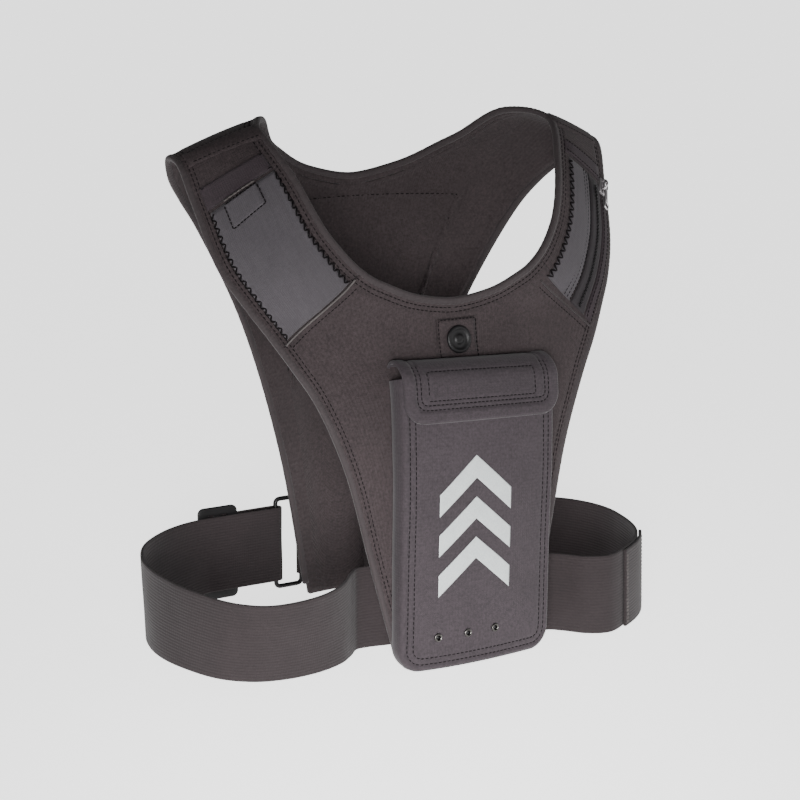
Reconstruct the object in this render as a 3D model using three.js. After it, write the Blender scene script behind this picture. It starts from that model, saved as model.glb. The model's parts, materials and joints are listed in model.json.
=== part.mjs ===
// Running safety vest in neoprene: a front panel with a phone pocket, two shoulder straps,
// a tapering back panel and two waist belts that close the loop at the sides.
// Millimetres, +Z up. The wearer faces -Y, and +X is the wearer's left.
import * as THREE from 'three';

// ---- Driving dimensions ----
const NEOPRENE = 3.0;
const LAYER_GAP = 0.6;
const TRIM = 1.0;
const BINDING_WIDTH = 4.0;
const BINDING_HEIGHT = 4.4;
const EDGE_GAP = 0.4;
const NECK_GAP = 0.9;
const POCKET_CENTRE_X = -4;
const POCKET_HALF_WIDTH = 51;
const POCKET_SPREAD = 0.07;
const POCKET_LEAN = 7;
const POCKET_DROOP = 2.2;
const POCKET_TOP_Z = 170;
const POCKET_CORNER = 14;
const POCKET_DEPTH = 14;
const POCKET_CLOTH = 1.2;
const FLAP_TOP_Z = 177;
const FLAP_END_Z = 146;
const FLAP_ROOT = 7;
const FLAP_CREASE = 0.6;
const FLAP_HALF_WIDTH = 51;
const FLAP_CORNER = 13;
const TAPE_WIDTH = 72;
const TAPE_HEIGHT = 18;
const TAPE_TOP_Z = 168;
const CHEVRON_COUNT = 3;
const CHEVRON_CENTRE_X = -5;
const CHEVRON_HALF_WIDTH = 23.5;
const CHEVRON_BAND = 13;
const CHEVRON_RISE = 21;
const CHEVRON_PITCH = 24;
const CHEVRON_LOW_Z = 44;
const EYELET_X = [-28, -9, 9.5];
const EYELET_Z = 20;
const EYELET_RADIUS = 2.6;
const EYELET_HOLE = 1.4;
const STUD_RADIUS = 8.5;
const STUD_RIM = 1.6;
const STUD_DISH = 0.8;
const STUD_Z = 192;
const STUD_X = 0.5;
const BELT_WIDTH = 50;
const BELT_THICKNESS = 2.0;
const RIGHT_BELT_FLARE = 26;
const LEFT_BELT_FLARE = -3;
const MAX_BELT_Y = 100;
const RIGHT_BELT_LOW = 12;
const LEFT_BELT_LOW = 0;
const FOLD_GAP = 6;
const FOLD_X = -44;
const WEBBING_Y = 81;
const GLIDE_X = -87;
const GLIDE_HALF = 14;
const GLIDE_HEIGHT = 62;
const GLIDE_THICKNESS = 2.2;
const RING_WIRE = 1.5;
const RING_WIDTH = 19;
const RING_HEIGHT = 60;
const ORIGIN_SHIFT = new THREE.Vector3(3.75, 8.4, 0.13);

// ---- The vest's form: a mid line and an edge line, both running from the front's bottom
// edge over the shoulder to the back's bottom edge. STEPS counts the stations between them.
const MID_LINE = [
  [-81.5, 0], [-78, 65], [-75, 122], [-70, 163], [-64, 186], [-61, 207], [-64, 231], [-62, 266],
  [-49, 306], [-22, 333], [14, 332], [42, 310], [56, 288], [62, 261], [67, 196], [73, 106], [81, 0],
];
const EDGE_LINE = [
  [46, -76, 0], [62, -71, 65], [76, -67, 122], [92.5, -62, 163], [105.5, -56, 185], [116.5, -49, 203],
  [126.5, -42, 219], [137.5, -30, 241], [144.5, -14, 275], [148.5, -1, 299.5], [148.5, 12, 301.5],
  [141.5, 25, 289], [129.5, 36, 275], [115.5, 43, 257], [80.5, 54, 195], [47.5, 67, 106], [22, 79.5, 0],
];
const STEPS = MID_LINE.length - 1;
const RIDGE = 9;
const midLine = spline(MID_LINE.map(([y, z]) => [0, y, z]));
const edgeLine = spline(EDGE_LINE);

// The neck's edge, from the front's middle to the back's middle: share of the half width, station.
const NECK = spline([
  [0, 5.3, 0], [0.2, 5.45, 0], [0.38, 5.85, 0], [0.496, 6.25, 0], [0.592, 6.95, 0], [0.667, 8.0, 0],
  [0.71, 9.0, 0], [0.66, 9.6, 0], [0.59, 10.15, 0], [0.463, 11.3, 0], [0.256, 12.1, 0], [0, 12.38, 0],
]);
const NECK_STEPS = 11;
const NECK_AT_SEAM = 3;
const NECK_AT_RIDGE = 6;
const SEAM_INNER = neckAt(NECK_AT_SEAM);
const SEAM_OUTER_STATION = 4.55;
const PANEL_BOTTOM = 0.06;

function spline(points) {
  return new THREE.CatmullRomCurve3(points.map((p) => new THREE.Vector3(...p)));
}

function neckAt(k) {
  const p = NECK.getPoint(k / NECK_STEPS);
  return { s: p.x, t: p.y };
}

// A point of the form: s runs from -1 to 1 across the vest, t runs along the lines' stations.
function formPoint(s, t) {
  const mid = midLine.getPoint(t / STEPS);
  const edge = edgeLine.getPoint(t / STEPS);
  const blend = s * s;
  return new THREE.Vector3(s * edge.x, mid.y + blend * (edge.y - mid.y), mid.z + blend * (edge.z - mid.z));
}

function formNormal(s, t) {
  const step = 0.01;
  const tLow = Math.max(0, t - step);
  const tHigh = Math.min(STEPS, t + step);
  const across = formPoint(s + step, t).sub(formPoint(s - step, t));
  const along = formPoint(s, tHigh).sub(formPoint(s, tLow));
  return across.cross(along).normalize();
}

function lift(s, t, height) {
  return formPoint(s, t).addScaledVector(formNormal(s, t), height);
}

// The station at which the front's mid line reaches a height.
function stationAt(z) {
  let low = 0;
  let high = RIDGE;
  for (let i = 0; i < 40; i += 1) {
    const middle = (low + high) / 2;
    if (midLine.getPoint(middle / STEPS).z < z) low = middle;
    else high = middle;
  }
  return (low + high) / 2;
}

// A point on the chest, given by its distance from the middle and its height.
function chest(x, z, height) {
  const t = stationAt(z);
  const halfWidth = edgeLine.getPoint(t / STEPS).x;
  return lift(x / halfWidth, t, height);
}

// A point of the phone pocket: x from its own middle line, which leans a little to the wearer's
// left, and its sides spread a little towards the mouth.
function pocketPoint(x, z, height) {
  const rise = z / POCKET_TOP_Z;
  const spread = x * (1 + POCKET_SPREAD * (rise - 0.5));
  const droop = (POCKET_DROOP * rise * x) / POCKET_HALF_WIDTH;
  return chest(POCKET_CENTRE_X + POCKET_LEAN * rise + spread, z - droop, height);
}

// ---- Closed bodies ----
function closedGeometry(points, faces) {
  const position = new Float32Array(points.length * 3);
  points.forEach((p, i) => p.toArray(position, i * 3));
  let volume = 0;
  for (const [a, b, c] of faces) {
    volume += points[a].dot(points[b].clone().cross(points[c]));
  }
  const index = faces.flatMap(([a, b, c]) => (volume < 0 ? [a, c, b] : [a, b, c]));
  const geometry = new THREE.BufferGeometry();
  geometry.setAttribute('position', new THREE.BufferAttribute(position, 3));
  geometry.setIndex(index);
  geometry.computeVertexNormals();
  return geometry;
}

// A curved sheet with thickness. point(u, v, side) gives its two faces, side 0 and side 1.
function sheet(columns, rows, point) {
  const points = [];
  const faces = [];
  const at = (i, j, side) => (side * (rows + 1) + j) * (columns + 1) + i;
  for (const side of [0, 1]) {
    for (let j = 0; j <= rows; j += 1) {
      for (let i = 0; i <= columns; i += 1) {
        points.push(point(i / columns, j / rows, side));
      }
    }
  }
  const quad = (a, b, c, d) => faces.push([a, b, c], [a, c, d]);
  for (let j = 0; j < rows; j += 1) {
    for (let i = 0; i < columns; i += 1) {
      quad(at(i, j, 1), at(i + 1, j, 1), at(i + 1, j + 1, 1), at(i, j + 1, 1));
      quad(at(i, j + 1, 0), at(i + 1, j + 1, 0), at(i + 1, j, 0), at(i, j, 0));
    }
  }
  for (let i = 0; i < columns; i += 1) {
    quad(at(i, 0, 0), at(i + 1, 0, 0), at(i + 1, 0, 1), at(i, 0, 1));
    quad(at(i, rows, 1), at(i + 1, rows, 1), at(i + 1, rows, 0), at(i, rows, 0));
  }
  for (let j = 0; j < rows; j += 1) {
    quad(at(0, j, 0), at(0, j, 1), at(0, j + 1, 1), at(0, j + 1, 0));
    quad(at(columns, j, 1), at(columns, j, 0), at(columns, j + 1, 0), at(columns, j + 1, 1));
  }
  return closedGeometry(points, faces);
}

// A bar swept through stations, each holding one ring of section points.
function sweep(rings, closed) {
  const points = rings.flat();
  const faces = [];
  const sides = rings[0].length;
  const spans = closed ? rings.length : rings.length - 1;
  for (let i = 0; i < spans; i += 1) {
    const here = i * sides;
    const next = ((i + 1) % rings.length) * sides;
    for (let k = 0; k < sides; k += 1) {
      const m = (k + 1) % sides;
      faces.push([here + k, next + k, next + m], [here + k, next + m, here + m]);
    }
  }
  if (!closed) {
    const last = (rings.length - 1) * sides;
    for (let k = 1; k < sides - 1; k += 1) {
      faces.push([0, k, k + 1], [last, last + k + 1, last + k]);
    }
  }
  return closedGeometry(points, faces);
}

// A ring of six corners around a centre, with one axis along each given direction.
function bindingSection(centre, wide, high) {
  const w = BINDING_WIDTH / 2;
  const h = BINDING_HEIGHT / 2;
  const corners = [[-w, -h], [w * 0.5, -h], [w, -h * 0.4], [w, h * 0.4], [w * 0.5, h], [-w, h]];
  return corners.map(([a, b]) => centre.clone().addScaledVector(wide, a).addScaledVector(high, b));
}

// A flat washer or frame is a Shape with holes, given a thickness about its own mid plane.
function plate(shape, thickness, curveSegments) {
  const geometry = new THREE.ExtrudeGeometry(shape, { depth: thickness, bevelEnabled: false, curveSegments });
  return geometry.translate(0, 0, -thickness / 2);
}

function roundedRectangle(width, height, radius, path = new THREE.Shape()) {
  const x = width / 2;
  const y = height / 2;
  path.moveTo(-x + radius, -y);
  path.lineTo(x - radius, -y);
  path.absarc(x - radius, -y + radius, radius, -Math.PI / 2, 0, false);
  path.lineTo(x, y - radius);
  path.absarc(x - radius, y - radius, radius, 0, Math.PI / 2, false);
  path.lineTo(-x + radius, y);
  path.absarc(-x + radius, y - radius, radius, Math.PI / 2, Math.PI, false);
  path.lineTo(-x, -y + radius);
  path.absarc(-x + radius, -y + radius, radius, Math.PI, Math.PI * 1.5, false);
  return path;
}

// ---- Materials ----
const neoprene = (color) => new THREE.MeshStandardMaterial({ color, roughness: 0.9, metalness: 0 });
const webbing = () => new THREE.MeshStandardMaterial({ color: 0x4e4646, roughness: 0.85, metalness: 0 });
const softCloth = (color) => new THREE.MeshStandardMaterial({ color, roughness: 0.7, metalness: 0 });
const plastic = () => new THREE.MeshStandardMaterial({ color: 0x17171a, roughness: 0.45, metalness: 0 });
const metal = (color) => new THREE.MeshStandardMaterial({ color, roughness: 0.3, metalness: 1 });

const vest = new THREE.Group();
vest.position.copy(ORIGIN_SHIFT);

function add(name, geometry, material, position, quaternion) {
  const mesh = new THREE.Mesh(geometry, material);
  mesh.name = name;
  if (position) mesh.position.copy(position);
  if (quaternion) mesh.quaternion.copy(quaternion);
  vest.add(mesh);
}

// Turns a plate that faces +Z so that it faces along the form's normal, with +Y up the form.
function facing(normal, up) {
  const y = up.clone().addScaledVector(normal, -up.dot(normal)).normalize();
  const x = y.clone().cross(normal);
  return new THREE.Quaternion().setFromRotationMatrix(new THREE.Matrix4().makeBasis(x, y, normal));
}

// ---- Panels and straps ----
function addFrontPanel() {
  const seamColumns = 4;
  const neckColumns = 9;
  const columns = 2 * (seamColumns + neckColumns);
  const top = (u) => {
    const share = Math.abs(2 * u - 1) * (seamColumns + neckColumns);
    if (share <= neckColumns) return neckAt((NECK_AT_SEAM * share) / neckColumns);
    const k = (share - neckColumns) / seamColumns;
    return {
      s: THREE.MathUtils.lerp(SEAM_INNER.s, 1, k),
      t: THREE.MathUtils.lerp(SEAM_INNER.t, SEAM_OUTER_STATION, k),
    };
  };
  const point = (u, v, side) => {
    const { s, t } = top(u);
    const sign = u < 0.5 ? -1 : 1;
    return lift(sign * s, THREE.MathUtils.lerp(PANEL_BOTTOM, t, v), (side - 0.5) * NEOPRENE);
  };
  add('front_panel', sheet(columns, 12, point), neoprene(0x4b4545));
}

function addBackPanel() {
  const shoulderColumns = 3;
  const neckColumns = 15;
  const columns = 2 * (shoulderColumns + neckColumns);
  const neckSpan = NECK_STEPS - NECK_AT_RIDGE;
  const top = (u) => {
    const share = Math.abs(2 * u - 1) * (shoulderColumns + neckColumns);
    if (share <= neckColumns) return neckAt(NECK_STEPS - (neckSpan * share) / neckColumns);
    const k = (share - neckColumns) / shoulderColumns;
    return { s: THREE.MathUtils.lerp(neckAt(NECK_AT_RIDGE).s, 1, k), t: RIDGE };
  };
  const point = (u, v, side) => {
    const { s, t } = top(u);
    const sign = u < 0.5 ? -1 : 1;
    return lift(sign * s, THREE.MathUtils.lerp(t, STEPS, v), (side - 0.5) * NEOPRENE);
  };
  add('back_panel', sheet(columns, 15, point), neoprene(0x2e2a29));
}

// Maps a patch of a strap: u runs from the neck's edge to the outer edge, v up the strap.
function strapPoint(sign, u, v, height) {
  const join = 0.03;
  const neck = neckAt(THREE.MathUtils.lerp(NECK_AT_SEAM, NECK_AT_RIDGE, v));
  const innerStation = Math.min(neck.t + join * (1 - 2 * v), RIDGE - join);
  const outerStation = THREE.MathUtils.lerp(SEAM_OUTER_STATION + join, RIDGE - join, v);
  const s = THREE.MathUtils.lerp(neck.s, 1, u);
  return lift(sign * s, THREE.MathUtils.lerp(innerStation, outerStation, u), height);
}

function strapPatch(sign, [uLow, uHigh], [vLow, vHigh], columns, rows, low, high) {
  return sheet(columns, rows, (u, v, side) => strapPoint(
    sign,
    THREE.MathUtils.lerp(uLow, uHigh, u),
    THREE.MathUtils.lerp(vLow, vHigh, v),
    side ? high : low,
  ));
}

const SKIN = NEOPRENE / 2;
const FIRST_LAYER = [SKIN + LAYER_GAP, SKIN + LAYER_GAP + TRIM];
const SECOND_LAYER = [FIRST_LAYER[1] + LAYER_GAP, FIRST_LAYER[1] + LAYER_GAP + TRIM];

function addStraps() {
  for (const [name, sign] of [['right', -1], ['left', 1]]) {
    const body = strapPatch(sign, [0, 1], [0, 1], 8, 18, -SKIN, SKIN);
    add(`${name}_shoulder_strap`, body, neoprene(0x4b4545));
  }
}

function addRightStrapPocket() {
  const pocket = strapPatch(-1, [0.1, 0.9], [0.04, 0.73], 6, 11, ...FIRST_LAYER);
  add('right_strap_pocket', pocket, softCloth(0x626064));
  const hem = strapPatch(-1, [0.1, 0.92], [0.742, 0.84], 6, 2, ...FIRST_LAYER);
  add('right_strap_pocket_hem', hem, softCloth(0x3c393b));
  const closure = strapPatch(-1, [0.34, 0.74], [0.63, 0.722], 4, 2, ...SECOND_LAYER);
  add('right_strap_closure', closure, softCloth(0x3a383a));
}

// The left pocket starts a little below the seam, on the front panel.
const LEFT_POCKET_RISE = [-0.08, 0.73];

function addLeftStrapPocket() {
  add('left_strap_pocket', strapPatch(1, [0.17, 0.55], LEFT_POCKET_RISE, 4, 12, ...FIRST_LAYER), softCloth(0x626064));
  add('left_strap_light_band', strapPatch(1, [0.1, 0.9], [0.75, 0.83], 6, 2, ...FIRST_LAYER), softCloth(0xb5b9ba));
  add('left_strap_side_band', strapPatch(1, [0.83, 0.95], LEFT_POCKET_RISE, 2, 12, ...FIRST_LAYER), softCloth(0x3c393b));
  add('left_zip_tape', strapPatch(1, [0.57, 0.81], LEFT_POCKET_RISE, 3, 12, ...FIRST_LAYER), softCloth(0x1d1c1e));
  add('left_zip_teeth', strapPatch(1, [0.665, 0.715], [-0.06, 0.71], 1, 12, ...SECOND_LAYER), plastic());
}

// The zip's slider stands over the teeth, near their top, and its pull hangs from it.
function addZipSlider() {
  const v = 0.68;
  const u = 0.69;
  const clear = SECOND_LAYER[1] + 1.6;
  const base = strapPoint(1, u, v, clear);
  const normal = strapPoint(1, u, v, clear + 1).sub(base).normalize();
  const up = strapPoint(1, u, v, clear).sub(strapPoint(1, u, 0.1, clear));
  const turn = facing(normal, up);
  const length = 11;
  const thickness = 2.6;
  add('left_zip_slider', plate(roundedRectangle(7.5, length, 2), thickness, 3), metal(0x2a2a2c),
    base.clone().addScaledVector(normal, thickness / 2), turn);
  const tab = roundedRectangle(5.5, 20, 2);
  const eye = roundedRectangle(2.6, 4, 1.2, new THREE.Path()).getPoints(3);
  tab.holes.push(new THREE.Path(eye.map((p) => p.add(new THREE.Vector2(0, 6.5)))));
  const drop = new THREE.Vector3(0, -7, thickness + 1.4).applyQuaternion(turn);
  add('left_zip_pull', plate(tab, 1.4, 3), metal(0x2a2a2c), base.clone().add(drop), turn);
}

// ---- Bindings, piping and shoulder tapes ----
function addNeckBinding() {
  const perHalf = 3 * NECK_STEPS;
  const rings = [];
  const station = (k) => {
    const half = k <= perHalf ? k : 2 * perHalf - k;
    const { s, t } = neckAt((NECK_STEPS * half) / perHalf);
    return { s: k <= perHalf ? s : -s, t };
  };
  for (let k = 0; k < 2 * perHalf; k += 1) {
    const { s, t } = station(k);
    const before = station((k + 2 * perHalf - 1) % (2 * perHalf));
    const after = station((k + 1) % (2 * perHalf));
    const normal = formNormal(s, t);
    const along = formPoint(after.s, after.t).sub(formPoint(before.s, before.t)).normalize();
    const inward = normal.clone().cross(along).normalize();
    const centre = formPoint(s, t).addScaledVector(inward, BINDING_WIDTH / 2 + NECK_GAP);
    rings.push(bindingSection(centre, inward, normal));
  }
  add('neck_binding', sweep(rings, true), softCloth(0x6b6663));
}

function addEdgeBindings() {
  const spans = 44;
  for (const [name, sign] of [['right', -1], ['left', 1]]) {
    const rings = [];
    for (let k = 0; k <= spans; k += 1) {
      const t = THREE.MathUtils.lerp(0.12, STEPS - 0.08, k / spans);
      const normal = formNormal(sign, t);
      const along = formPoint(sign, Math.min(t + 0.05, STEPS)).sub(formPoint(sign, t - 0.05)).normalize();
      const outward = along.clone().cross(normal).multiplyScalar(sign).normalize();
      const centre = formPoint(sign, t).addScaledVector(outward, BINDING_WIDTH / 2 + EDGE_GAP);
      rings.push(bindingSection(centre, outward, normal));
    }
    add(`${name}_edge_binding`, sweep(rings, false), softCloth(0x6b6663));
  }
}

// The left piping lies lower than the seam, along the foot of the zip pocket.
function addSeams() {
  for (const [name, sign, drop] of [['right', -1, 0], ['left', 1, 0.42]]) {
    const piping = sheet(8, 1, (u, v, side) => {
      const s = THREE.MathUtils.lerp(SEAM_INNER.s + 0.02, 0.985, u);
      const t = THREE.MathUtils.lerp(SEAM_INNER.t, SEAM_OUTER_STATION, (s - SEAM_INNER.s) / (1 - SEAM_INNER.s));
      const lower = 0.16;
      return lift(sign * s, t - drop - lower * (1 - v) + 0.02, FIRST_LAYER[side]);
    });
    add(`${name}_seam_piping`, piping, softCloth(0x8a8684));
    const tape = sheet(6, 4, (u, v, side) => {
      const s = THREE.MathUtils.lerp(0.69, 0.97, u);
      return lift(sign * s, THREE.MathUtils.lerp(RIDGE - 0.25, RIDGE + 0.25, v), FIRST_LAYER[side] + 0.3);
    });
    add(`${name}_shoulder_tape`, tape, softCloth(0x4b4545));
  }
}

// ---- Stud tab above the pocket ----
function addStudTab() {
  const tab = sheet(4, 3, (u, v, side) => chest(
    STUD_X + (u - 0.5) * 27,
    THREE.MathUtils.lerp(STUD_Z - 8, STUD_Z + 13, v),
    FIRST_LAYER[side],
  ));
  add('stud_tab', tab, neoprene(0x4b4545));
  const inner = STUD_RADIUS * 0.55;
  const profile = [
    [0, 0], [STUD_RADIUS, 0], [STUD_RADIUS, STUD_RIM * 0.6], [STUD_RADIUS - 1, STUD_RIM],
    [inner + 0.6, STUD_RIM], [inner, STUD_DISH], [0, STUD_DISH],
  ].map(([radius, height]) => new THREE.Vector2(radius, height));
  const stud = new THREE.LatheGeometry(profile, 20).rotateX(Math.PI / 2);
  const seat = SECOND_LAYER[0];
  const base = chest(STUD_X, STUD_Z, seat);
  const normal = chest(STUD_X, STUD_Z, seat + 1).sub(base).normalize();
  add('press_stud', stud, plastic(), base, facing(normal, new THREE.Vector3(0, 0, 1)));
}

// ---- Phone pocket ----
// Half the pocket's width at a height: the bottom corners are arcs.
function pocketHalfWidth(z, inset) {
  const radius = POCKET_CORNER - inset;
  const rise = Math.min(Math.max(z - inset, 0), radius);
  return POCKET_HALF_WIDTH - inset - radius + Math.sqrt(radius * radius - (radius - rise) ** 2);
}

function pocketSheet(low, high, inset, zTop, rows) {
  return sheet(8, rows, (u, v, side) => {
    const eased = v * v * (1.6 - 0.6 * v);
    const z = THREE.MathUtils.lerp(inset, zTop, eased);
    return pocketPoint((2 * u - 1) * pocketHalfWidth(z, inset), z, side ? high : low);
  });
}

// The gusset's U: down one side, round the corner, along the bottom and up the other side.
function gussetPoint(u, inset) {
  const radius = POCKET_CORNER - inset;
  const straight = POCKET_TOP_Z - POCKET_CORNER;
  const arc = (POCKET_CORNER * Math.PI) / 2;
  const base = POCKET_HALF_WIDTH - POCKET_CORNER;
  const half = straight + arc + base;
  const run = Math.abs(2 * u - 1) * half;
  const sign = u < 0.5 ? -1 : 1;
  if (run <= base) return [sign * run, inset];
  if (run <= base + arc) {
    const angle = (run - base) / POCKET_CORNER;
    return [sign * (base + radius * Math.sin(angle)), POCKET_CORNER - radius * Math.cos(angle)];
  }
  return [sign * (POCKET_HALF_WIDTH - inset), POCKET_CORNER + run - base - arc];
}

const POCKET_SEAT = SKIN + 1.3;
const POCKET_BACK = [POCKET_SEAT, POCKET_SEAT + POCKET_CLOTH];
const POCKET_FACE = [POCKET_BACK[1] + POCKET_DEPTH - POCKET_CLOTH, POCKET_BACK[1] + POCKET_DEPTH];
const WALL_GAP = 0.7;
const FACE_TRIM = [POCKET_FACE[1] + 0.35, POCKET_FACE[1] + 0.85];
const FLAP_HEIGHT = FACE_TRIM[1] + 1.4;

function addPocketBag() {
  add('pocket_back', pocketSheet(...POCKET_BACK, 0.3, POCKET_TOP_Z, 12), neoprene(0x4b4545));
  add('pocket_front', pocketSheet(...POCKET_FACE, 0.3, POCKET_TOP_Z, 12), neoprene(0x544c4c));
  const gusset = sheet(44, 2, (u, v, side) => {
    const [x, z] = gussetPoint(u, side ? 0.3 : 0.3 + POCKET_CLOTH);
    return pocketPoint(x, z, THREE.MathUtils.lerp(POCKET_BACK[1] + WALL_GAP, POCKET_FACE[0] - WALL_GAP, v));
  });
  add('pocket_gusset', gusset, neoprene(0x5a5252));
}

function faceTape(name, low, high) {
  const tape = sheet(6, 2, (u, v, side) => pocketPoint(
    (u - 0.5) * TAPE_WIDTH,
    THREE.MathUtils.lerp(TAPE_TOP_Z - TAPE_HEIGHT, TAPE_TOP_Z, v),
    side ? high : low,
  ));
  add(name, tape, softCloth(0x2a2829));
}

// The flap's root is sewn to the chest above the pocket. Past a crease the flap itself runs over
// the pocket's mouth and hangs down its face.
function addFlap() {
  const profile = spline([
    [SKIN + 1.0, FLAP_TOP_Z, 0], [7, FLAP_TOP_Z + 2, 0], [13, FLAP_TOP_Z + 0.5, 0],
    [FLAP_HEIGHT - 0.5, FLAP_TOP_Z - 7, 0], [FLAP_HEIGHT, FLAP_TOP_Z - 15, 0], [FLAP_HEIGHT, FLAP_END_Z, 0],
  ]);
  const length = profile.getLength();
  const stretch = (start, end, rows) => sheet(8, rows, (u, v, side) => {
    const run = THREE.MathUtils.lerp(start, end, v);
    const p = profile.getPointAt(run / length);
    const tangent = profile.getTangentAt(run / length);
    const fromEnd = Math.min(length - run, FLAP_CORNER);
    const corner = FLAP_CORNER - Math.sqrt(FLAP_CORNER ** 2 - (FLAP_CORNER - fromEnd) ** 2);
    const height = p.x - tangent.y * side * POCKET_CLOTH;
    const z = p.y + tangent.x * side * POCKET_CLOTH;
    return pocketPoint((2 * u - 1) * (FLAP_HALF_WIDTH - corner), z, height);
  });
  add('flap_root', stretch(0, FLAP_ROOT, 3), neoprene(0x504848));
  add('pocket_flap', stretch(FLAP_ROOT + FLAP_CREASE, length, 14), neoprene(0x504848));
}

function addPocketTrim() {
  for (let k = 0; k < CHEVRON_COUNT; k += 1) {
    const chevron = sheet(8, 1, (u, v, side) => {
      const fromMiddle = Math.abs(2 * u - 1);
      const z = CHEVRON_LOW_Z + k * CHEVRON_PITCH + v * CHEVRON_BAND + (1 - fromMiddle) * CHEVRON_RISE;
      return pocketPoint(CHEVRON_CENTRE_X + (2 * u - 1) * CHEVRON_HALF_WIDTH, z, FACE_TRIM[side]);
    });
    add(`reflective_chevron_${k + 1}`, chevron, softCloth(0xb9bdbd));
  }
  EYELET_X.forEach((x, k) => {
    const ring = new THREE.Shape().absarc(0, 0, EYELET_RADIUS, 0, Math.PI * 2, false);
    ring.holes.push(new THREE.Path().absarc(0, 0, EYELET_HOLE, 0, Math.PI * 2, true));
    const base = pocketPoint(x, EYELET_Z, FACE_TRIM[0]);
    const normal = pocketPoint(x, EYELET_Z, FACE_TRIM[0] + 1).sub(base).normalize();
    const thickness = 0.8;
    add(`drain_eyelet_${k + 1}`, plate(ring, thickness, 8), metal(0x9a9a98),
      base.addScaledVector(normal, thickness / 2), facing(normal, new THREE.Vector3(0, 0, 1)));
  });
}

// ---- Belts ----
// A band of webbing along a path seen from above. Within a span of the path its top edge leans
// further out, in front and behind, than its bottom edge, or further in where the lean is negative.
function belt(route, low, [flareSpan, lean], stretch = [0, 1], raise = 0) {
  const curve = spline(route.map(([x, y]) => [x, y, 0]));
  const spans = Math.round((route.length - 1) * 2 * (stretch[1] - stretch[0]));
  return sheet(spans, 2, (u, v, side) => {
    const run = THREE.MathUtils.lerp(stretch[0], stretch[1], u);
    const p = curve.getPoint(run);
    const along = curve.getTangent(run);
    const offset = (side - 0.5) * BELT_THICKNESS - raise;
    const share = THREE.MathUtils.clamp((run - flareSpan[0]) / (flareSpan[1] - flareSpan[0]), 0, 1);
    const flare = lean * (v - 0.5) * Math.sin(Math.PI * share) * (p.y / MAX_BELT_Y);
    return new THREE.Vector3(p.x - along.y * offset, p.y + along.x * offset + flare, low + v * BELT_WIDTH);
  });
}

function addRightBelt() {
  const foldRadius = FOLD_GAP / 2;
  const turnAt = (angle) => [
    FOLD_X + foldRadius * Math.sin(angle),
    WEBBING_Y + foldRadius - foldRadius * Math.cos(angle),
  ];
  const route = [
    [-38, -71], [-52, -69], [-64, -66.4], [-72, -66.6], [-79, -73], [-92, -85], [-110, -94], [-130, -97], [-149, -93],
    [-163, -80], [-172, -55], [-176, -26], [-174.5, 0], [-167, 24], [-152, 47], [-130, 66], [-112, 76],
    [-98, 80.4], [-84, WEBBING_Y], [-66, WEBBING_Y], turnAt(0), turnAt(Math.PI / 4), turnAt(Math.PI / 2),
    turnAt((3 * Math.PI) / 4), turnAt(Math.PI), [-66, WEBBING_Y + FOLD_GAP], [-92, WEBBING_Y + FOLD_GAP],
  ];
  add('right_waist_belt', belt(route, RIGHT_BELT_LOW, [[0.16, 0.66], RIGHT_BELT_FLARE]), webbing());
}

function addLeftBelt() {
  const route = [
    [36, -71.6], [50, -69.5], [61, -67.4], [69, -67.8], [76, -75], [85, -86], [98, -91], [116, -83], [137, -68], [153, -48],
    [164, -20], [168.5, 6], [163, 31], [150, 49], [128, 61], [100, 70], [74, 72], [56, 70], [44, 68.6], [30, 69.2], [16, 70.4],
  ];
  const flare = [[0.2, 0.75], LEFT_BELT_FLARE];
  add('left_waist_belt', belt(route, LEFT_BELT_LOW, flare), webbing());
  add('left_belt_hem', belt(route, LEFT_BELT_LOW, flare, [0.34, 0.44], BELT_THICKNESS + LAYER_GAP), webbing());
}

// The tri-glide stands between the belt's two layers, and its middle bar holds the folded end.
function addTriGlide() {
  const frame = roundedRectangle(2 * GLIDE_HALF, GLIDE_HEIGHT, 4);
  const slotOffset = 4.6;
  for (const side of [-1, 1]) {
    const slot = roundedRectangle(4.4, BELT_WIDTH + 1.5, 1, new THREE.Path());
    const move = new THREE.Vector2(side * slotOffset, 0);
    const moved = new THREE.Path(slot.getPoints(3).map((p) => p.add(move)));
    frame.holes.push(moved);
  }
  const upright = facing(new THREE.Vector3(0, 1, 0), new THREE.Vector3(0, 0, 1));
  const middle = RIGHT_BELT_LOW + BELT_WIDTH / 2;
  add('belt_tri_glide', plate(frame, GLIDE_THICKNESS, 3), plastic(),
    new THREE.Vector3(GLIDE_X, WEBBING_Y + FOLD_GAP / 2, middle), upright);
}

// The wire ring joins the belt's fold to a keeper loop sewn on the back panel.
function addRing() {
  const outline = roundedRectangle(RING_WIDTH, RING_HEIGHT, 3).getPoints(3);
  const rings = outline.slice(0, -1).map((p, k, all) => {
    const before = all[(k + all.length - 1) % all.length];
    const after = all[(k + 1) % all.length];
    const along = after.clone().sub(before).normalize();
    const side = new THREE.Vector3(along.y, 0, -along.x);
    const through = new THREE.Vector3(0, 1, 0);
    const centre = new THREE.Vector3(p.x, 0, p.y);
    const corners = [0, 1, 2, 3, 4, 5].map((n) => (n * Math.PI) / 3);
    return corners.map((angle) => centre.clone()
      .addScaledVector(side, RING_WIRE * Math.cos(angle))
      .addScaledVector(through, RING_WIRE * Math.sin(angle)));
  });
  const ringX = FOLD_X + RING_WIDTH / 2 - 0.2;
  const place = new THREE.Vector3(ringX, WEBBING_Y + FOLD_GAP / 2, RIGHT_BELT_LOW + BELT_WIDTH / 2);
  add('waist_ring', sweep(rings, true), plastic(), place);
}

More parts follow.
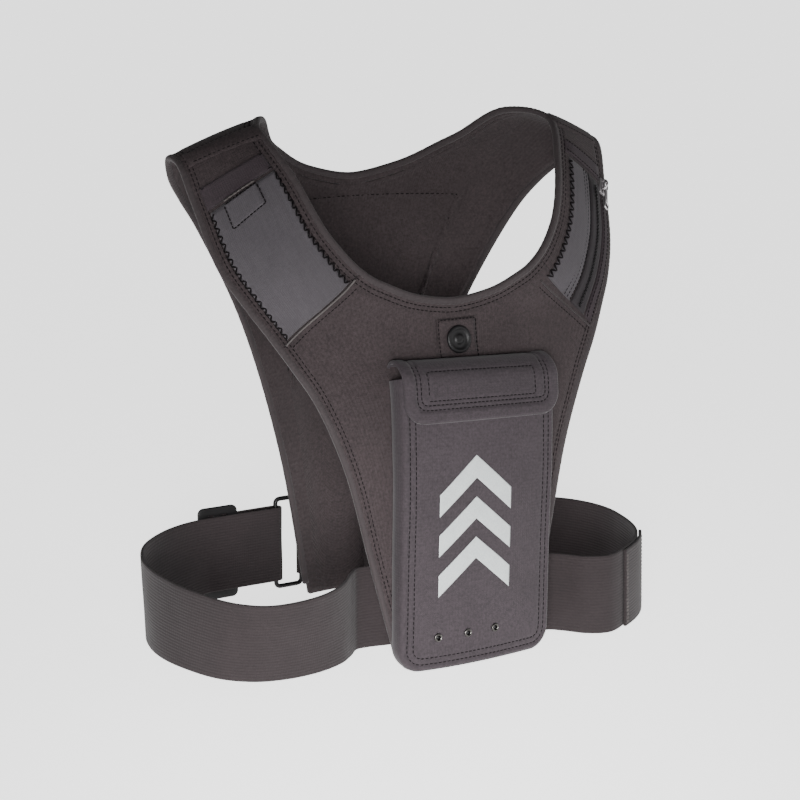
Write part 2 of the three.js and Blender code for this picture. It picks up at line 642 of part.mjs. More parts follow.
// A loop of webbing round the ring's inner bar, its two ends sewn to the back panel's outside.
function addRingKeeper() {
  const barX = FOLD_X + RING_WIDTH - 0.2;
  const barY = WEBBING_Y + FOLD_GAP / 2;
  const radius = RING_WIRE + 1.2;
  const route = [
    [barX + 22, barY + 1.6], [barX + 12, barY + 2.2], [barX, barY + radius], [barX - radius, barY],
    [barX, barY - radius + 0.2], [barX + 2.4, barY - radius + 1.2],
  ];
  const curve = spline(route.map(([x, y]) => [x, y, 0]));
  const keeper = sheet(15, 2, (u, v, side) => {
    const p = curve.getPoint(u);
    const along = curve.getTangent(u);
    const offset = (side - 0.5) * TRIM;
    return new THREE.Vector3(p.x - along.y * offset, p.y + along.x * offset, 14 + v * 42);
  });
  add('ring_keeper', keeper, webbing());
}

// A broad reflective patch on the outside of the back.
function addBackReflector() {
  const patch = sheet(12, 6, (u, v, side) => {
    const s = THREE.MathUtils.lerp(-0.68, 0.68, u);
    return lift(s, THREE.MathUtils.lerp(12.75, 14.55, v), FIRST_LAYER[side]);
  });
  add('back_reflector', patch, softCloth(0x8f9394));
}

addFrontPanel();
addBackPanel();
addStraps();
addRightStrapPocket();
addLeftStrapPocket();
addZipSlider();
addNeckBinding();
addEdgeBindings();
addSeams();
addStudTab();
addPocketBag();
faceTape('pocket_loop_tape', ...FACE_TRIM);
addFlap();
addPocketTrim();
addRightBelt();
addLeftBelt();
addTriGlide();
addRing();
addRingKeeper();
addBackReflector();

export default vest;
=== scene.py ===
"""Running vest in neoprene: the soft goods, stitching and small hardware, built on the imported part.

Places on the cloth are worked out in millimetres on the vest's form, and every mesh ends in metres.
A place on the form is (s, t). s is -1 at the right edge, 0 in the middle and 1 at the left edge.
t counts the stations from the front's foot, 0, over the shoulder's ridge, 9, to the back's foot,
16.
"""
import bisect
import json
import math
from itertools import accumulate

import bmesh
import bpy
from bpy.props import FloatProperty, FloatVectorProperty, PointerProperty
from mathutils import Matrix, Vector, noise
from mathutils.kdtree import KDTree


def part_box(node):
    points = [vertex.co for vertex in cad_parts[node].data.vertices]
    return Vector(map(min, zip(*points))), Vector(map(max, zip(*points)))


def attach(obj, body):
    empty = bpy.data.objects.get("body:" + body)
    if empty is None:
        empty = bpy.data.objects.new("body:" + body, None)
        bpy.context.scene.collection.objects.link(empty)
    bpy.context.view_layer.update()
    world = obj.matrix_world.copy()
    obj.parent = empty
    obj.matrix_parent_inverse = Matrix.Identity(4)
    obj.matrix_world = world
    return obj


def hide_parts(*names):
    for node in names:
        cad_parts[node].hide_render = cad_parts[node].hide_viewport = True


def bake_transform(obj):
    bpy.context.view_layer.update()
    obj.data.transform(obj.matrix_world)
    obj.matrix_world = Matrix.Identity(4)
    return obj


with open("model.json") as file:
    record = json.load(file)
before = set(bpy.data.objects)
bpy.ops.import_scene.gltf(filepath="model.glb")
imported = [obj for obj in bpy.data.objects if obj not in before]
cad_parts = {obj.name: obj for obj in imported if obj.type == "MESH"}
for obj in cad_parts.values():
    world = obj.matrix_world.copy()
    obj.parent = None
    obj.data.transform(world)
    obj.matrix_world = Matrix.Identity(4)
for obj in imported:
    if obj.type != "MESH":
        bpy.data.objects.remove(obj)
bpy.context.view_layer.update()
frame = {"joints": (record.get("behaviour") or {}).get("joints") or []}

bl_info = {
    "name": "Running vest",
    "version": (1, 0, 0),
    "blender": (4, 5, 0),
    "location": "View3D > Sidebar > Vest",
    "description": "Builds the cloth, stitching and hardware of a neoprene running vest",
    "category": "Add Mesh",
}

MM = 0.001
ORIGIN = Vector((3.75, 8.4, 0.13))  # the form's own origin in the part's frame
VEST, FLAP = "vest_body", "pocket_flap_body"
SLIDER, PULL, GLIDE = "zip_slider_body", "zip_pull_body", "tri_glide_body"
RIGHT, LEFT = -1, 1

# ---- The vest's form, in millimetres ----
# Its mid line and edge line have one point for each station. The neck's points are (s, t, 0), from
# the front's middle to the back's.
MID_LINE = [
    (0, -81.5, 0), (0, -78, 65), (0, -75, 122), (0, -70, 163), (0, -64, 186), (0, -61, 207),
    (0, -64, 231), (0, -62, 266), (0, -49, 306), (0, -22, 333), (0, 14, 332), (0, 42, 310),
    (0, 56, 288), (0, 62, 261), (0, 67, 196), (0, 73, 106), (0, 81, 0),
]
EDGE_LINE = [
    (46, -76, 0), (62, -71, 65), (76, -67, 122), (92.5, -62, 163), (105.5, -56, 185),
    (116.5, -49, 203), (126.5, -42, 219), (137.5, -30, 241), (144.5, -14, 275), (148.5, -1, 299.5),
    (148.5, 12, 301.5), (141.5, 25, 289), (129.5, 36, 275), (115.5, 43, 257), (80.5, 54, 195),
    (47.5, 67, 106), (22, 79.5, 0),
]
NECK = [
    (0, 5.3, 0), (0.2, 5.45, 0), (0.38, 5.85, 0), (0.496, 6.25, 0), (0.592, 6.95, 0),
    (0.667, 8.0, 0), (0.71, 9.0, 0), (0.66, 9.6, 0), (0.59, 10.15, 0), (0.463, 11.3, 0),
    (0.256, 12.1, 0), (0, 12.38, 0),
]
STATIONS = len(MID_LINE) - 1
RIDGE = 9  # the station of the shoulder seam
NECK_SPANS = len(NECK) - 1
NECK_AT_SEAM = 3  # the neck's point where a strap is sewn to the front
NECK_AT_RIDGE = 6
SEAM_OUTER = 4.55  # the station where that seam meets the outer edge
LEFT_SEAM_DROP = 0.42  # how many stations lower the left seam lies
PANEL_FOOT = 0.06

# ---- Layers over the form's middle surface, in millimetres ----
SKIN = 1.5
PATCH_TOP = 3.1
UPPER_PATCH_TOP = 4.7
POCKET_SEAT = 2.8
FACE_HEIGHT = 18.0

# ---- Sizes of the pocket, the flap and the stud's place on the chest, in millimetres ----
POCKET_HALF = 51.0
POCKET_TOP = 170.0
POCKET_CORNER = 14.0
POCKET_FOOT = -4  # how far the pocket's foot stands from the middle
POCKET_LEAN = 7  # how far it leans sideways up to its mouth
POCKET_SPREAD = 0.07  # how much wider its mouth is than its foot
POCKET_TILT = 2.2
FLAP_HALF = 51.0
FLAP_TURN = 7.3  # the crease's distance from the flap's root
FLAP_CORNER = 13.0
FLAP_THICK = 2.3
STUD_AT = (0.5, 192.0)

# ---- The foam's swell, in millimetres ----
SWELL_SIZE, FINE_SWELL_SIZE, FINE_SHARE = 44.0, 17.0, 0.25
SWELL, SHOULDER_SWELL = 0.55, 0.2
SHOULDER_STATIONS = (4.5, 10)

# ---- Rows of stitching: how far each lies from its edge, in millimetres ----
NECK_ROWS = (2.4, 5.2)
SIDE_ROWS = (2.6, 4.8)
BAG_STITCHES = (4.6, 8.2)
FLAP_STITCHES = (7.6, 10.2)
TAPE_BOX = (-36.0, 34.0, 12.2, 26.0)  # left, right, low and high side of the box over the hook tape


def linear(code):
    """An sRGB hex colour as linear red, green and blue."""
    parts = [int(code[k:k + 2], 16) / 255 for k in (0, 2, 4)]
    return [p / 12.92 if p <= 0.04045 else ((p + 0.055) / 1.055) ** 2.4 for p in parts]


# ---- Curves and the form ----
class Line:
    """A centripetal Catmull-Rom curve through its points."""

    def __init__(self, points):
        pts = [Vector(p) for p in points]
        pts = [2 * pts[0] - pts[1], *pts, 2 * pts[-1] - pts[-2]]
        self.spans = []
        for p0, p1, p2, p3 in zip(pts, pts[1:], pts[2:], pts[3:]):
            d0, d1, d2 = (math.sqrt((b - a).length) for a, b in ((p0, p1), (p1, p2), (p2, p3)))
            out = ((p1 - p0) / d0 - (p2 - p0) / (d0 + d1) + (p2 - p1) / d1) * d1
            into = ((p2 - p1) / d1 - (p3 - p1) / (d1 + d2) + (p3 - p2) / d2) * d1
            self.spans.append((p1, out, 3 * (p2 - p1) - 2 * out - into, 2 * (p1 - p2) + out + into))

    def at(self, share):
        place = min(max(share, 0.0), 1.0) * len(self.spans)
        k = min(int(place), len(self.spans) - 1)
        w = place - k
        a, b, c, d = self.spans[k]
        return a + w * (b + w * (c + w * d))

    def heading(self, share, step=0.0005):
        return (self.at(share + step) - self.at(share - step)).normalized()


MID, EDGE = Line(MID_LINE), Line(EDGE_LINE)
NECK_LINE = Line([(-NECK[1][0], NECK[1][1], 0), *NECK, (-NECK[-2][0], NECK[-2][1], 0)])
CHEST_STATIONS = [k * RIDGE / 1500 for k in range(1501)]
CHEST_HEIGHTS = [MID.at(t / STATIONS).z for t in CHEST_STATIONS]


def mix(a, b, share):
    """The value a share of the way from a to b."""
    return a + (b - a) * share


def form_point(s, t):
    """A place on the middle of the cloth's thickness, as if it were smooth."""
    mid, edge = MID.at(t / STATIONS), EDGE.at(t / STATIONS)
    blend = s * s
    return Vector((s * edge.x, mix(mid.y, edge.y, blend), mix(mid.z, edge.z, blend)))


def form_normal(s, t):
    """The direction off the vest's outer face."""
    across = form_point(s + 0.01, t) - form_point(s - 0.01, t)
    along = form_point(s, min(t + 0.01, STATIONS)) - form_point(s, max(t - 0.01, 0))
    return across.cross(along).normalized()


def ripple(point, t):
    """How far the foam cloth swells or sinks: every layer over a place moves with it."""
    low, high = SHOULDER_STATIONS
    swell = SHOULDER_SWELL if low < t < high else SWELL
    fine = noise.noise(point / FINE_SWELL_SIZE) * swell * FINE_SHARE
    return noise.noise(point / SWELL_SIZE) * swell + fine


def lift(s, t, height):
    """A place at a height over the form, with the foam's swell."""
    point = form_point(s, t)
    return point + form_normal(s, t) * (height + ripple(point, t))


def walk(s, t, heading, distance, steps=3):
    """The place on the form that lies a distance away, over its surface, in a heading."""
    for _ in range(steps):
        a = (form_point(s + 0.01, t) - form_point(s - 0.01, t)) / 0.02
        b = (form_point(s, t + 0.01) - form_point(s, t - 0.01)) / 0.02
        aa, ab, bb = a.dot(a), a.dot(b), b.dot(b)
        ha, hb, det = a.dot(heading), b.dot(heading), aa * bb - ab * ab
        s += (ha * bb - hb * ab) / det * distance / steps
        t += (hb * aa - ha * ab) / det * distance / steps
    return s, t


def neck_at(k):
    """(s, t) on the left half of the neck's edge, with k counted along its points."""
    p = NECK_LINE.at((k + 1) / (NECK_SPANS + 2))
    return p.x, p.y


def neck_station(turn):
    """The neck's edge at a share of its whole loop, from the front's middle by the left side."""
    k = 2 * NECK_SPANS * (turn % 1.0)
    s, t = neck_at(min(k, 2 * NECK_SPANS - k))
    return (s, t) if k <= NECK_SPANS else (-s, t)


def neck_frame(turn):
    """(s, t, outward normal, direction into the hole) at a share of the neck's loop."""
    s, t = neck_station(turn)
    before, after = form_point(*neck_station(turn - 0.004)), form_point(*neck_station(turn + 0.004))
    normal = form_normal(s, t)
    return s, t, normal, normal.cross(after - before).normalized()


def edge_frame(side, t):
    """(normal, direction off the cloth) at a station of a side edge."""
    normal = form_normal(side, t)
    along = form_point(side, min(t + 0.05, STATIONS)) - form_point(side, t - 0.05)
    return normal, (along.cross(normal) * side).normalized()


def neck_row(inset, height, count=400):
    """Points and normals of a row that keeps its distance from the neck's edge."""
    row = []
    for k in range(count + 1):
        s, t, _, inward = neck_frame(k / count)
        s, t = walk(s, t, -inward, inset)
        row.append((lift(s, t, height), form_normal(s, t)))
    return row


def edge_row(side, inset, height, start, end, count):
    """Points and normals of a row that keeps its distance from a side edge."""
    row = []
    for k in range(count + 1):
        t = mix(start, end, k / count)
        s, t = walk(side, t, -edge_frame(side, t)[1], inset)
        row.append((lift(s, t, height), form_normal(s, t)))
    return row


def chest(x, z, height):
    """A point on the chest, by its distance from the middle and its height off the hem."""
    k = min(max(bisect.bisect_left(CHEST_HEIGHTS, z), 1), len(CHEST_HEIGHTS) - 1)
    low, high = CHEST_HEIGHTS[k - 1], CHEST_HEIGHTS[k]
    t = mix(CHEST_STATIONS[k - 1], CHEST_STATIONS[k], min(max((z - low) / (high - low), -9), 1))
    return lift(x / EDGE.at(t / STATIONS).x, t, height)


def chest_normal(x, z):
    """The direction off the chest at a place on it."""
    return (chest(x, z, 1) - chest(x, z, 0)).normalized()


def pocket_point(x, z, height):
    """A point of the phone pocket, which leans a little and spreads a little to its mouth."""
    rise = z / POCKET_TOP
    wide = x * (1 + POCKET_SPREAD * (rise - 0.5))
    low = z - POCKET_TILT * rise * x / POCKET_HALF
    return chest(POCKET_FOOT + POCKET_LEAN * rise + wide, low, height)


def pocket_normal(x, z):
    """The direction off the pocket's face at a place on it."""
    return (pocket_point(x, z, 1) - pocket_point(x, z, 0)).normalized()


def strap_point(side, u, v, height):
    """A point of a strap: u runs from the neck to the outer edge, v from the seam to the ridge."""
    ns, nt = neck_at(mix(NECK_AT_SEAM, NECK_AT_RIDGE, v))
    outer = mix(SEAM_OUTER + 0.03, RIDGE - 0.03, v)
    inner = min(nt + 0.03 * (1 - 2 * v), RIDGE - 0.03)
    return lift(side * mix(ns, 1, u), mix(inner, outer, u), height)


def strap_normal(side, u, v):
    """The direction off a strap's outer face."""
    return (strap_point(side, u, v, 1) - strap_point(side, u, v, 0)).normalized()


def strap_facing(side):
    """Roughly where a strap's outer face looks: forwards, upwards and a little outwards."""
    return side * 0.3, -1, 0.6


# ---- Meshes ----
def to_world(point):
    """A place on the form in the part's frame, in metres."""
    return (point + ORIGIN) * MM


def finish(name, bm, look, slot, body=VEST, replaces=(), blend=None):
    """Turns a bmesh in place into a smooth piece with its finish and, unless blend is given, its
    body.
    """
    mesh = bpy.data.meshes.new(name)
    for face in bm.faces:
        face.smooth = True
    bm.to_mesh(mesh)
    bm.free()
    piece = bpy.data.objects.new(name, mesh)
    bpy.context.scene.collection.objects.link(piece)
    mesh.materials.append(look)
    if blend:
        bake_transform(piece)
    else:
        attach(piece, body)
    if replaces:
        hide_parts(*replaces)
    return piece


def wall(piece, thickness, offset=-1.0, rounding=0.0):
    """Gives a cloth its thickness in millimetres, and rounds its cut edges."""
    solid = piece.modifiers.new("Thickness", "SOLIDIFY")
    solid.thickness, solid.offset, solid.use_even_offset = thickness * MM, offset, True
    if rounding:
        bevel = piece.modifiers.new("Cut edge", "BEVEL")
        bevel.width, bevel.segments, bevel.limit_method = rounding * MM, 2, "ANGLE"
        bevel.angle_limit = math.radians(50)
    return piece


def cut_size(place):
    """The mean width and height in metres of a cloth that place(u, v) lays out."""
    lines = [[place(k / 12, j / 4) for k in range(13)] for j in range(5)]
    lines += [[place(j / 4, k / 12) for k in range(13)] for j in range(5)]
    runs = [sum((b - a).length for a, b in zip(line, line[1:])) * MM for line in lines]
    return sum(runs[:5]) / 5, sum(runs[5:]) / 5


def sewn_down(piece, place):
    """Measures a patch or tape that is sewn flat, by the size that place(u, v) gives it; the size is
    not used.
    """
    size = cut_size(place)


def cloth(columns, rows, place, close_u=False, close_v=False, keep=None):
    """A grid laid over a surface by place(u, v), with a UV map that measures the cloth in metres.
    keep(u, v) says which of its cells stay."""
    bm = bmesh.new()
    bmesh.ops.create_grid(bm, x_segments=columns, y_segments=rows, size=0.5)
    if keep:
        lost = [f for f in bm.faces if not keep(*(f.calc_center_median().xy + Vector((0.5, 0.5))))]
        bmesh.ops.delete(bm, geom=lost, context="FACES")
    wide, high = cut_size(place)
    uv = bm.loops.layers.uv.new("Weave")
    for face in bm.faces:
        for loop in face.loops:
            x, y = loop.vert.co.xy
            loop[uv].uv = ((x + 0.5) * wide, (y + 0.5) * high)
    for vert in bm.verts:
        vert.co = to_world(place(vert.co.x + 0.5, vert.co.y + 0.5))
    if close_u or close_v or keep:
        bmesh.ops.remove_doubles(bm, verts=bm.verts, dist=0.01 * MM)
    if close_u:
        bmesh.ops.recalc_face_normals(bm, faces=bm.faces)
    bm.normal_update()
    return bm


def press_in(bm, rows, reach, depth):
    """Sinks the cloth along rows of stitching, within a reach of them, in millimetres."""
    points = [to_world(p) for row in rows for p, _ in row]
    tree = KDTree(len(points))
    for k, point in enumerate(points):
        tree.insert(point, k)
    tree.balance()
    moved = []
    for vert in bm.verts:
        far = tree.find(vert.co)[2] / MM
        if far < reach:
            moved.append((vert, vert.normal * (-depth * MM * (1 - (far / reach) ** 2) ** 2)))
    for vert, shift in moved:
        vert.co += shift
    bm.normal_update()


def rumple(bm, size=22, height=0.35):
    """Lets a belt's cloth swell and sink a little, as worn elastic does. Sizes in millimetres."""
    offset = Vector((5, 0, 0))
    moves = [noise.noise(v.co / (size * MM) + offset) * height * MM for v in bm.verts]
    for vert, move in zip(list(bm.verts), moves):
        vert.co += vert.normal * move
    bm.normal_update()


def facing_out(bm, direction):
    """Turns the faces over when they look against a direction."""
    total = sum((f.normal * f.calc_area() for f in bm.faces), Vector())
    if total.dot(direction) < 0:
        bmesh.ops.reverse_faces(bm, faces=bm.faces)
        bm.normal_update()
    return bm


def axes(x, y, z, centre):
    """The matrix whose columns are three axes and a place."""
    return Matrix((
        (x.x, y.x, z.x, centre.x),
        (x.y, y.y, z.y, centre.y),
        (x.z, y.z, z.z, centre.z),
        (0, 0, 0, 1),
    ))


def thread(bm, start, end, normal, girth):
    """One stitch: a grain of thread between two places, in millimetres."""
    along = end - start
    length = along.length
    along = along / length
    aside = normal.cross(along).normalized()
    up = along.cross(aside)
    matrix = axes(
        aside * (girth * MM / 2), up * (girth * MM * 0.4), along * (length * MM / 2),
        to_world((start + end) / 2),
    )
    bmesh.ops.create_uvsphere(bm, u_segments=6, v_segments=4, radius=1, matrix=matrix)


def along_row(row, pitch):
    """A row's points and normals again, at a steady pitch in millimetres."""
    found, left = [row[0]], pitch
    for (a, na), (b, nb) in zip(row, row[1:]):
        span = (b - a).length
        while span > 0 and left <= span:
            share = left / span
            found.append((a.lerp(b, share), na.lerp(nb, share).normalized()))
            left += pitch
        left -= span
    return found


def sew(bm, legs, girth):
    """Adds stitches from (start, end, normal) legs, a short run at a time, which is quicker."""
    for first in range(0, len(legs), 40):
        run = bmesh.new()
        for start, end, normal in legs[first:first + 40]:
            thread(run, start, end, normal, girth)
        mesh = bpy.data.meshes.new("run")
        run.to_mesh(mesh)
        run.free()
        bm.from_mesh(mesh)
        bpy.data.meshes.remove(mesh)


def running_stitch(bm, row, pitch=None, girth=None, fill=0.8):
    """Sews along a row. Sizes are in millimetres, and fill is the thread's share of the pitch."""
    sizes = bpy.context.scene.vest_sizes
    marks = along_row(row, pitch or sizes.stitch_pitch / MM)
    legs = [(a, a.lerp(b, fill), na) for (a, na), (b, _) in zip(marks, marks[1:])]
    sew(bm, legs, girth or sizes.thread_girth / MM)


def zigzag(bm, low, high):
    """A zigzag whose turns lie on two rows by turns: one beside the patch and one on it."""
    sizes = bpy.context.scene.vest_sizes
    pitch, girth = sizes.zigzag_pitch / MM, sizes.zigzag_girth / MM
    low, high = along_row(low, pitch), along_row(high, pitch)
    turns = [(high if k % 2 else low)[k] for k in range(min(len(low), len(high)))]
    sew(bm, [(a, b, n) for (a, n), (b, _) in zip(turns, turns[1:])], girth)


def stitched(name, runs, look, slot="dark_hem", body=VEST, bm=None):
    """A piece of stitching, from runs of (row, pitch, girth, fill). Some give their row alone."""
    bm = bmesh.new() if bm is None else bm
    for row, *sizes in runs:
        running_stitch(bm, row, *sizes)
    finish(name, bm, look, slot, body)


def patch(name, grid, place, toward, look, slot, replaces=(), rows=(), press=(1.5, 0.4), thick=0.7,
          offset=-1.0, body=VEST):
    """A cloth laid by place(u, v) that faces toward a direction. It is pressed in along its rows
    of stitching and gets its thickness."""
    bm = facing_out(cloth(*grid, place), Vector(toward))
    if rows:
        press_in(bm, rows, *press)
    piece = wall(finish(name, bm, look, slot, body, replaces), thick, offset)
    sewn_down(piece, place)


def tube(rings, row_count, centre_of, section, closed):
    """A bar with a section round a path. centre_of(share) gives (centre, wide axis, high axis)."""
    def place(u, v):
        centre, wide, high = centre_of(v)
        a, b = section(u * math.tau, v)
        return centre + wide * a + high * b

    bm = cloth(rings, row_count, place, close_u=True, close_v=closed)
    if not closed:
        ends = [e for e in bm.edges if e.is_boundary]
        bmesh.ops.holes_fill(bm, edges=ends, sides=0)
        bmesh.ops.recalc_face_normals(bm, faces=bm.faces)
    return bm


def rounded(half_wide, half_high, power=2.6):
    """A rounded section: a superellipse, as a folded edge makes."""
    def section(angle, _):
        c, s = math.cos(angle), math.sin(angle)
        return (
            math.copysign(abs(c) ** (2 / power), c) * half_wide,
            math.copysign(abs(s) ** (2 / power), s) * half_high,
        )
    return section


# ---- Materials ----
def add(tree, kind, values=None, links=None):
    """Adds a shader node with its settings, its input values and its input links."""
    made = tree.nodes.new("ShaderNode" + kind)
    for key, value in (values or {}).items():
        if isinstance(key, int) or key in made.inputs:
            made.inputs[key].default_value = value
        else:
            setattr(made, key, value)
    for key, socket in (links or {}).items():
        tree.links.new(socket, made.inputs[key])
    return made


def blank(name):
    """A material by its name, emptied of its nodes, and its node tree."""
    look = bpy.data.materials.get(name) or bpy.data.materials.new(name)
    look.use_nodes = True
    look.node_tree.nodes.clear()
    return look, look.node_tree


def tint(colour, share):
    """A colour made darker or lighter by a share."""
    return [min(1.0, c * share) for c in colour] + [1.0]


def band_scale(size):
    """The wave texture's scale that gives it bands of a size in millimetres."""
    return 1 / (size * MM) / 20 * math.tau


def mottle(tree, vector, size, low, high, detail=2.0, rough=0.5, start=0.3, end=0.7):
    """Clouds of a size in millimetres, and the factor from low to high that they make."""
    cloud = add(tree, "TexNoise", {
        "Scale": 1 / (size * MM), "Detail": detail, "Roughness": rough,
    }, {"Vector": vector}).outputs["Fac"]
    factor = add(tree, "MapRange", {
        "From Min": start, "From Max": end, "To Min": low, "To Max": high,
    }, {"Value": cloud}).outputs[0]
    return cloud, factor


def dress(tree, colour, factors, relief, settings, links):
    """Ends a finish: its colour times its factors, its relief as (height, strength, depth in
    millimetres), and the shader with its settings and links."""
    value, *others = factors
    for factor in others:
        value = add(tree, "Math", {"operation": "MULTIPLY"}, {0: value, 1: factor}).outputs[0]
    shade = add(tree, "VectorMath", {
        "operation": "SCALE", 0: tuple(colour[:3]),
    }, {"Scale": value}).outputs[0]
    height, strength, depth = relief
    bump = add(tree, "Bump", {
        "Strength": strength, "Distance": abs(depth) * MM, "invert": depth < 0,
    }, {"Height": height}).outputs[0]
    skin = add(tree, "BsdfPrincipled", settings, {"Base Color": shade, "Normal": bump, **links})
    add(tree, "OutputMaterial", None, {"Surface": skin.outputs[0]})


def knit(name, colour, wale, course, relief, heather, sheen, rough, slub=0.0):
    """A knitted or woven face. wale and course are its loops' width and height in millimetres,
    relief how far they stand up, heather how much single yarns vary, slub how streaky they are.
    Real loops are about 0.4 mm wide: these are drawn three times as coarse, so that they show."""
    look, tree = blank(name)
    uv = add(tree, "UVMap", {"uv_map": "Weave"}).outputs[0]
    body = add(tree, "TexCoord").outputs["Object"]
    columns, courses = (
        add(tree, "TexWave", {
            "bands_direction": axis, "Scale": band_scale(size), "Distortion": bend, "Detail": 1.0,
            "Detail Scale": 2.0,
        }, {"Vector": uv}).outputs["Fac"]
        for axis, size, bend in (("X", wale, 0.6), ("Y", course, 0.9))
    )
    loops = add(tree, "Math", {"operation": "MULTIPLY"}, {0: columns, 1: courses}).outputs[0]
    drawn_out = add(tree, "Mapping", {"Scale": (1.0, 0.12, 1.0)}, {"Vector": uv}).outputs[0]
    yarn, speckle = mottle(tree, body, 1.6, 1 - heather, 1 + heather, 3.0, 0.65)
    _, streaks = mottle(tree, drawn_out, 2.4, 1 - slub, 1 + slub)
    _, broad = mottle(tree, body, 34, 0.93, 1.07)
    # Darker where the loops dip: painted shade in the hollows between the loops, on top of the bump
    loop_hollow_shade = add(tree, "MapRange", {"To Min": 0.95, "To Max": 1.04}, {"Value": loops}).outputs[0]
    height = add(tree, "Math", {
        "operation": "MULTIPLY_ADD", 1: 0.5,
    }, {0: yarn, 2: loops}).outputs[0]
    coarse = add(tree, "MapRange", {
        "To Min": rough - 0.08, "To Max": min(1.0, rough + 0.06),
    }, {"Value": yarn}).outputs[0]
    dress(tree, colour, (speckle, broad, streaks, loop_hollow_shade), (height, 0.8, relief), {
        "Sheen Weight": sheen, "Sheen Roughness": 0.45, "Specular IOR Level": 0.15,
    }, {"Roughness": coarse})
    return look


def webbing(name, colour, rib=1.9):
    """Woven elastic: lengthwise ribs of covered rubber, crossed by a fine weft. Real ribs are
    about 1 mm apart: these are drawn twice as coarse, so that they show."""
    look, tree = blank(name)
    uv = add(tree, "UVMap", {"uv_map": "Weave"}).outputs[0]
    body = add(tree, "TexCoord").outputs["Object"]
    ribs = add(tree, "TexWave", {
        "bands_direction": "Y", "Scale": band_scale(rib), "Distortion": 0.15,
    }, {"Vector": uv}).outputs["Fac"]
    weft = add(tree, "TexWave", {
        "bands_direction": "X", "Scale": band_scale(1.3), "Distortion": 1.2, "Detail": 1.0,
    }, {"Vector": uv}).outputs["Fac"]
    weave = add(tree, "Math", {
        "operation": "MULTIPLY_ADD", 1: 0.35,
    }, {0: weft, 2: ribs}).outputs[0]
    _, speckle = mottle(tree, body, 1.4, 0.84, 1.14, 3.0, 0.7)
    _, broad = mottle(tree, body, 26, 0.92, 1.08)
    # Darker where the weave sinks: painted shade in the grooves, on top of the bump
    groove_shade = add(tree, "MapRange", {
        "From Max": 1.35, "To Min": 0.84, "To Max": 1.06,
    }, {"Value": weave}).outputs[0]
    dress(tree, colour, (speckle, broad, groove_shade), (weave, 0.7, 0.18), {
        "Roughness": 0.88, "Sheen Weight": 0.04, "Sheen Roughness": 0.5, "Specular IOR Level": 0.15,
    }, {})
    return look


def bead_film(name, colour, bead=0.9, rough=0.5):
    """Retroreflective film: tiny glass beads in grey binder. They give an even, pearly grey, drawn
    here at several times their size so that they show."""
    look, tree = blank(name)
    body = add(tree, "TexCoord").outputs["Object"]
    beads = add(tree, "TexVoronoi", {
        "Scale": 1 / (bead * MM),
    }, {"Vector": body}).outputs["Distance"]
    dots = add(tree, "MapRange", {
        "From Max": 0.7, "To Min": 1.06, "To Max": 0.9,
    }, {"Value": beads}).outputs[0]
    wear, rubbed = mottle(tree, body, 7, 1.03, 0.93, 4.0, 0.6, 0.35)
    gloss = add(tree, "MapRange", {
        "To Min": rough - 0.08, "To Max": rough + 0.12,
    }, {"Value": wear}).outputs[0]
    dress(tree, colour, (dots, rubbed), (beads, 0.4, -0.05), {
        "Specular IOR Level": 0.6,
    }, {"Roughness": gloss})
    return look


def hard(name, colour, metallic=0.0, rough=0.4, grain=0.35, relief=0.03, shine=0.5):
    """Moulded plastic or plated metal: fine grain, and gloss that changes where hands rub it."""
    look, tree = blank(name)
    body = add(tree, "TexCoord").outputs["Object"]
    fine = add(tree, "TexNoise", {
        "Scale": 1 / (grain * MM), "Detail": 3.0,
    }, {"Vector": body}).outputs["Fac"]
    hands, worn = mottle(tree, body, 5, 0.92, 1.12, 3.0, 0.6, 0.35)
    gloss = add(tree, "MapRange", {
        "From Min": 0.3, "From Max": 0.7, "To Min": rough + 0.1, "To Max": rough - 0.06,
    }, {"Value": hands}).outputs[0]
    dress(tree, colour, (worn,), (fine, 0.5, relief), {
        "Metallic": metallic, "Specular IOR Level": shine,
    }, {"Roughness": gloss})
    return look


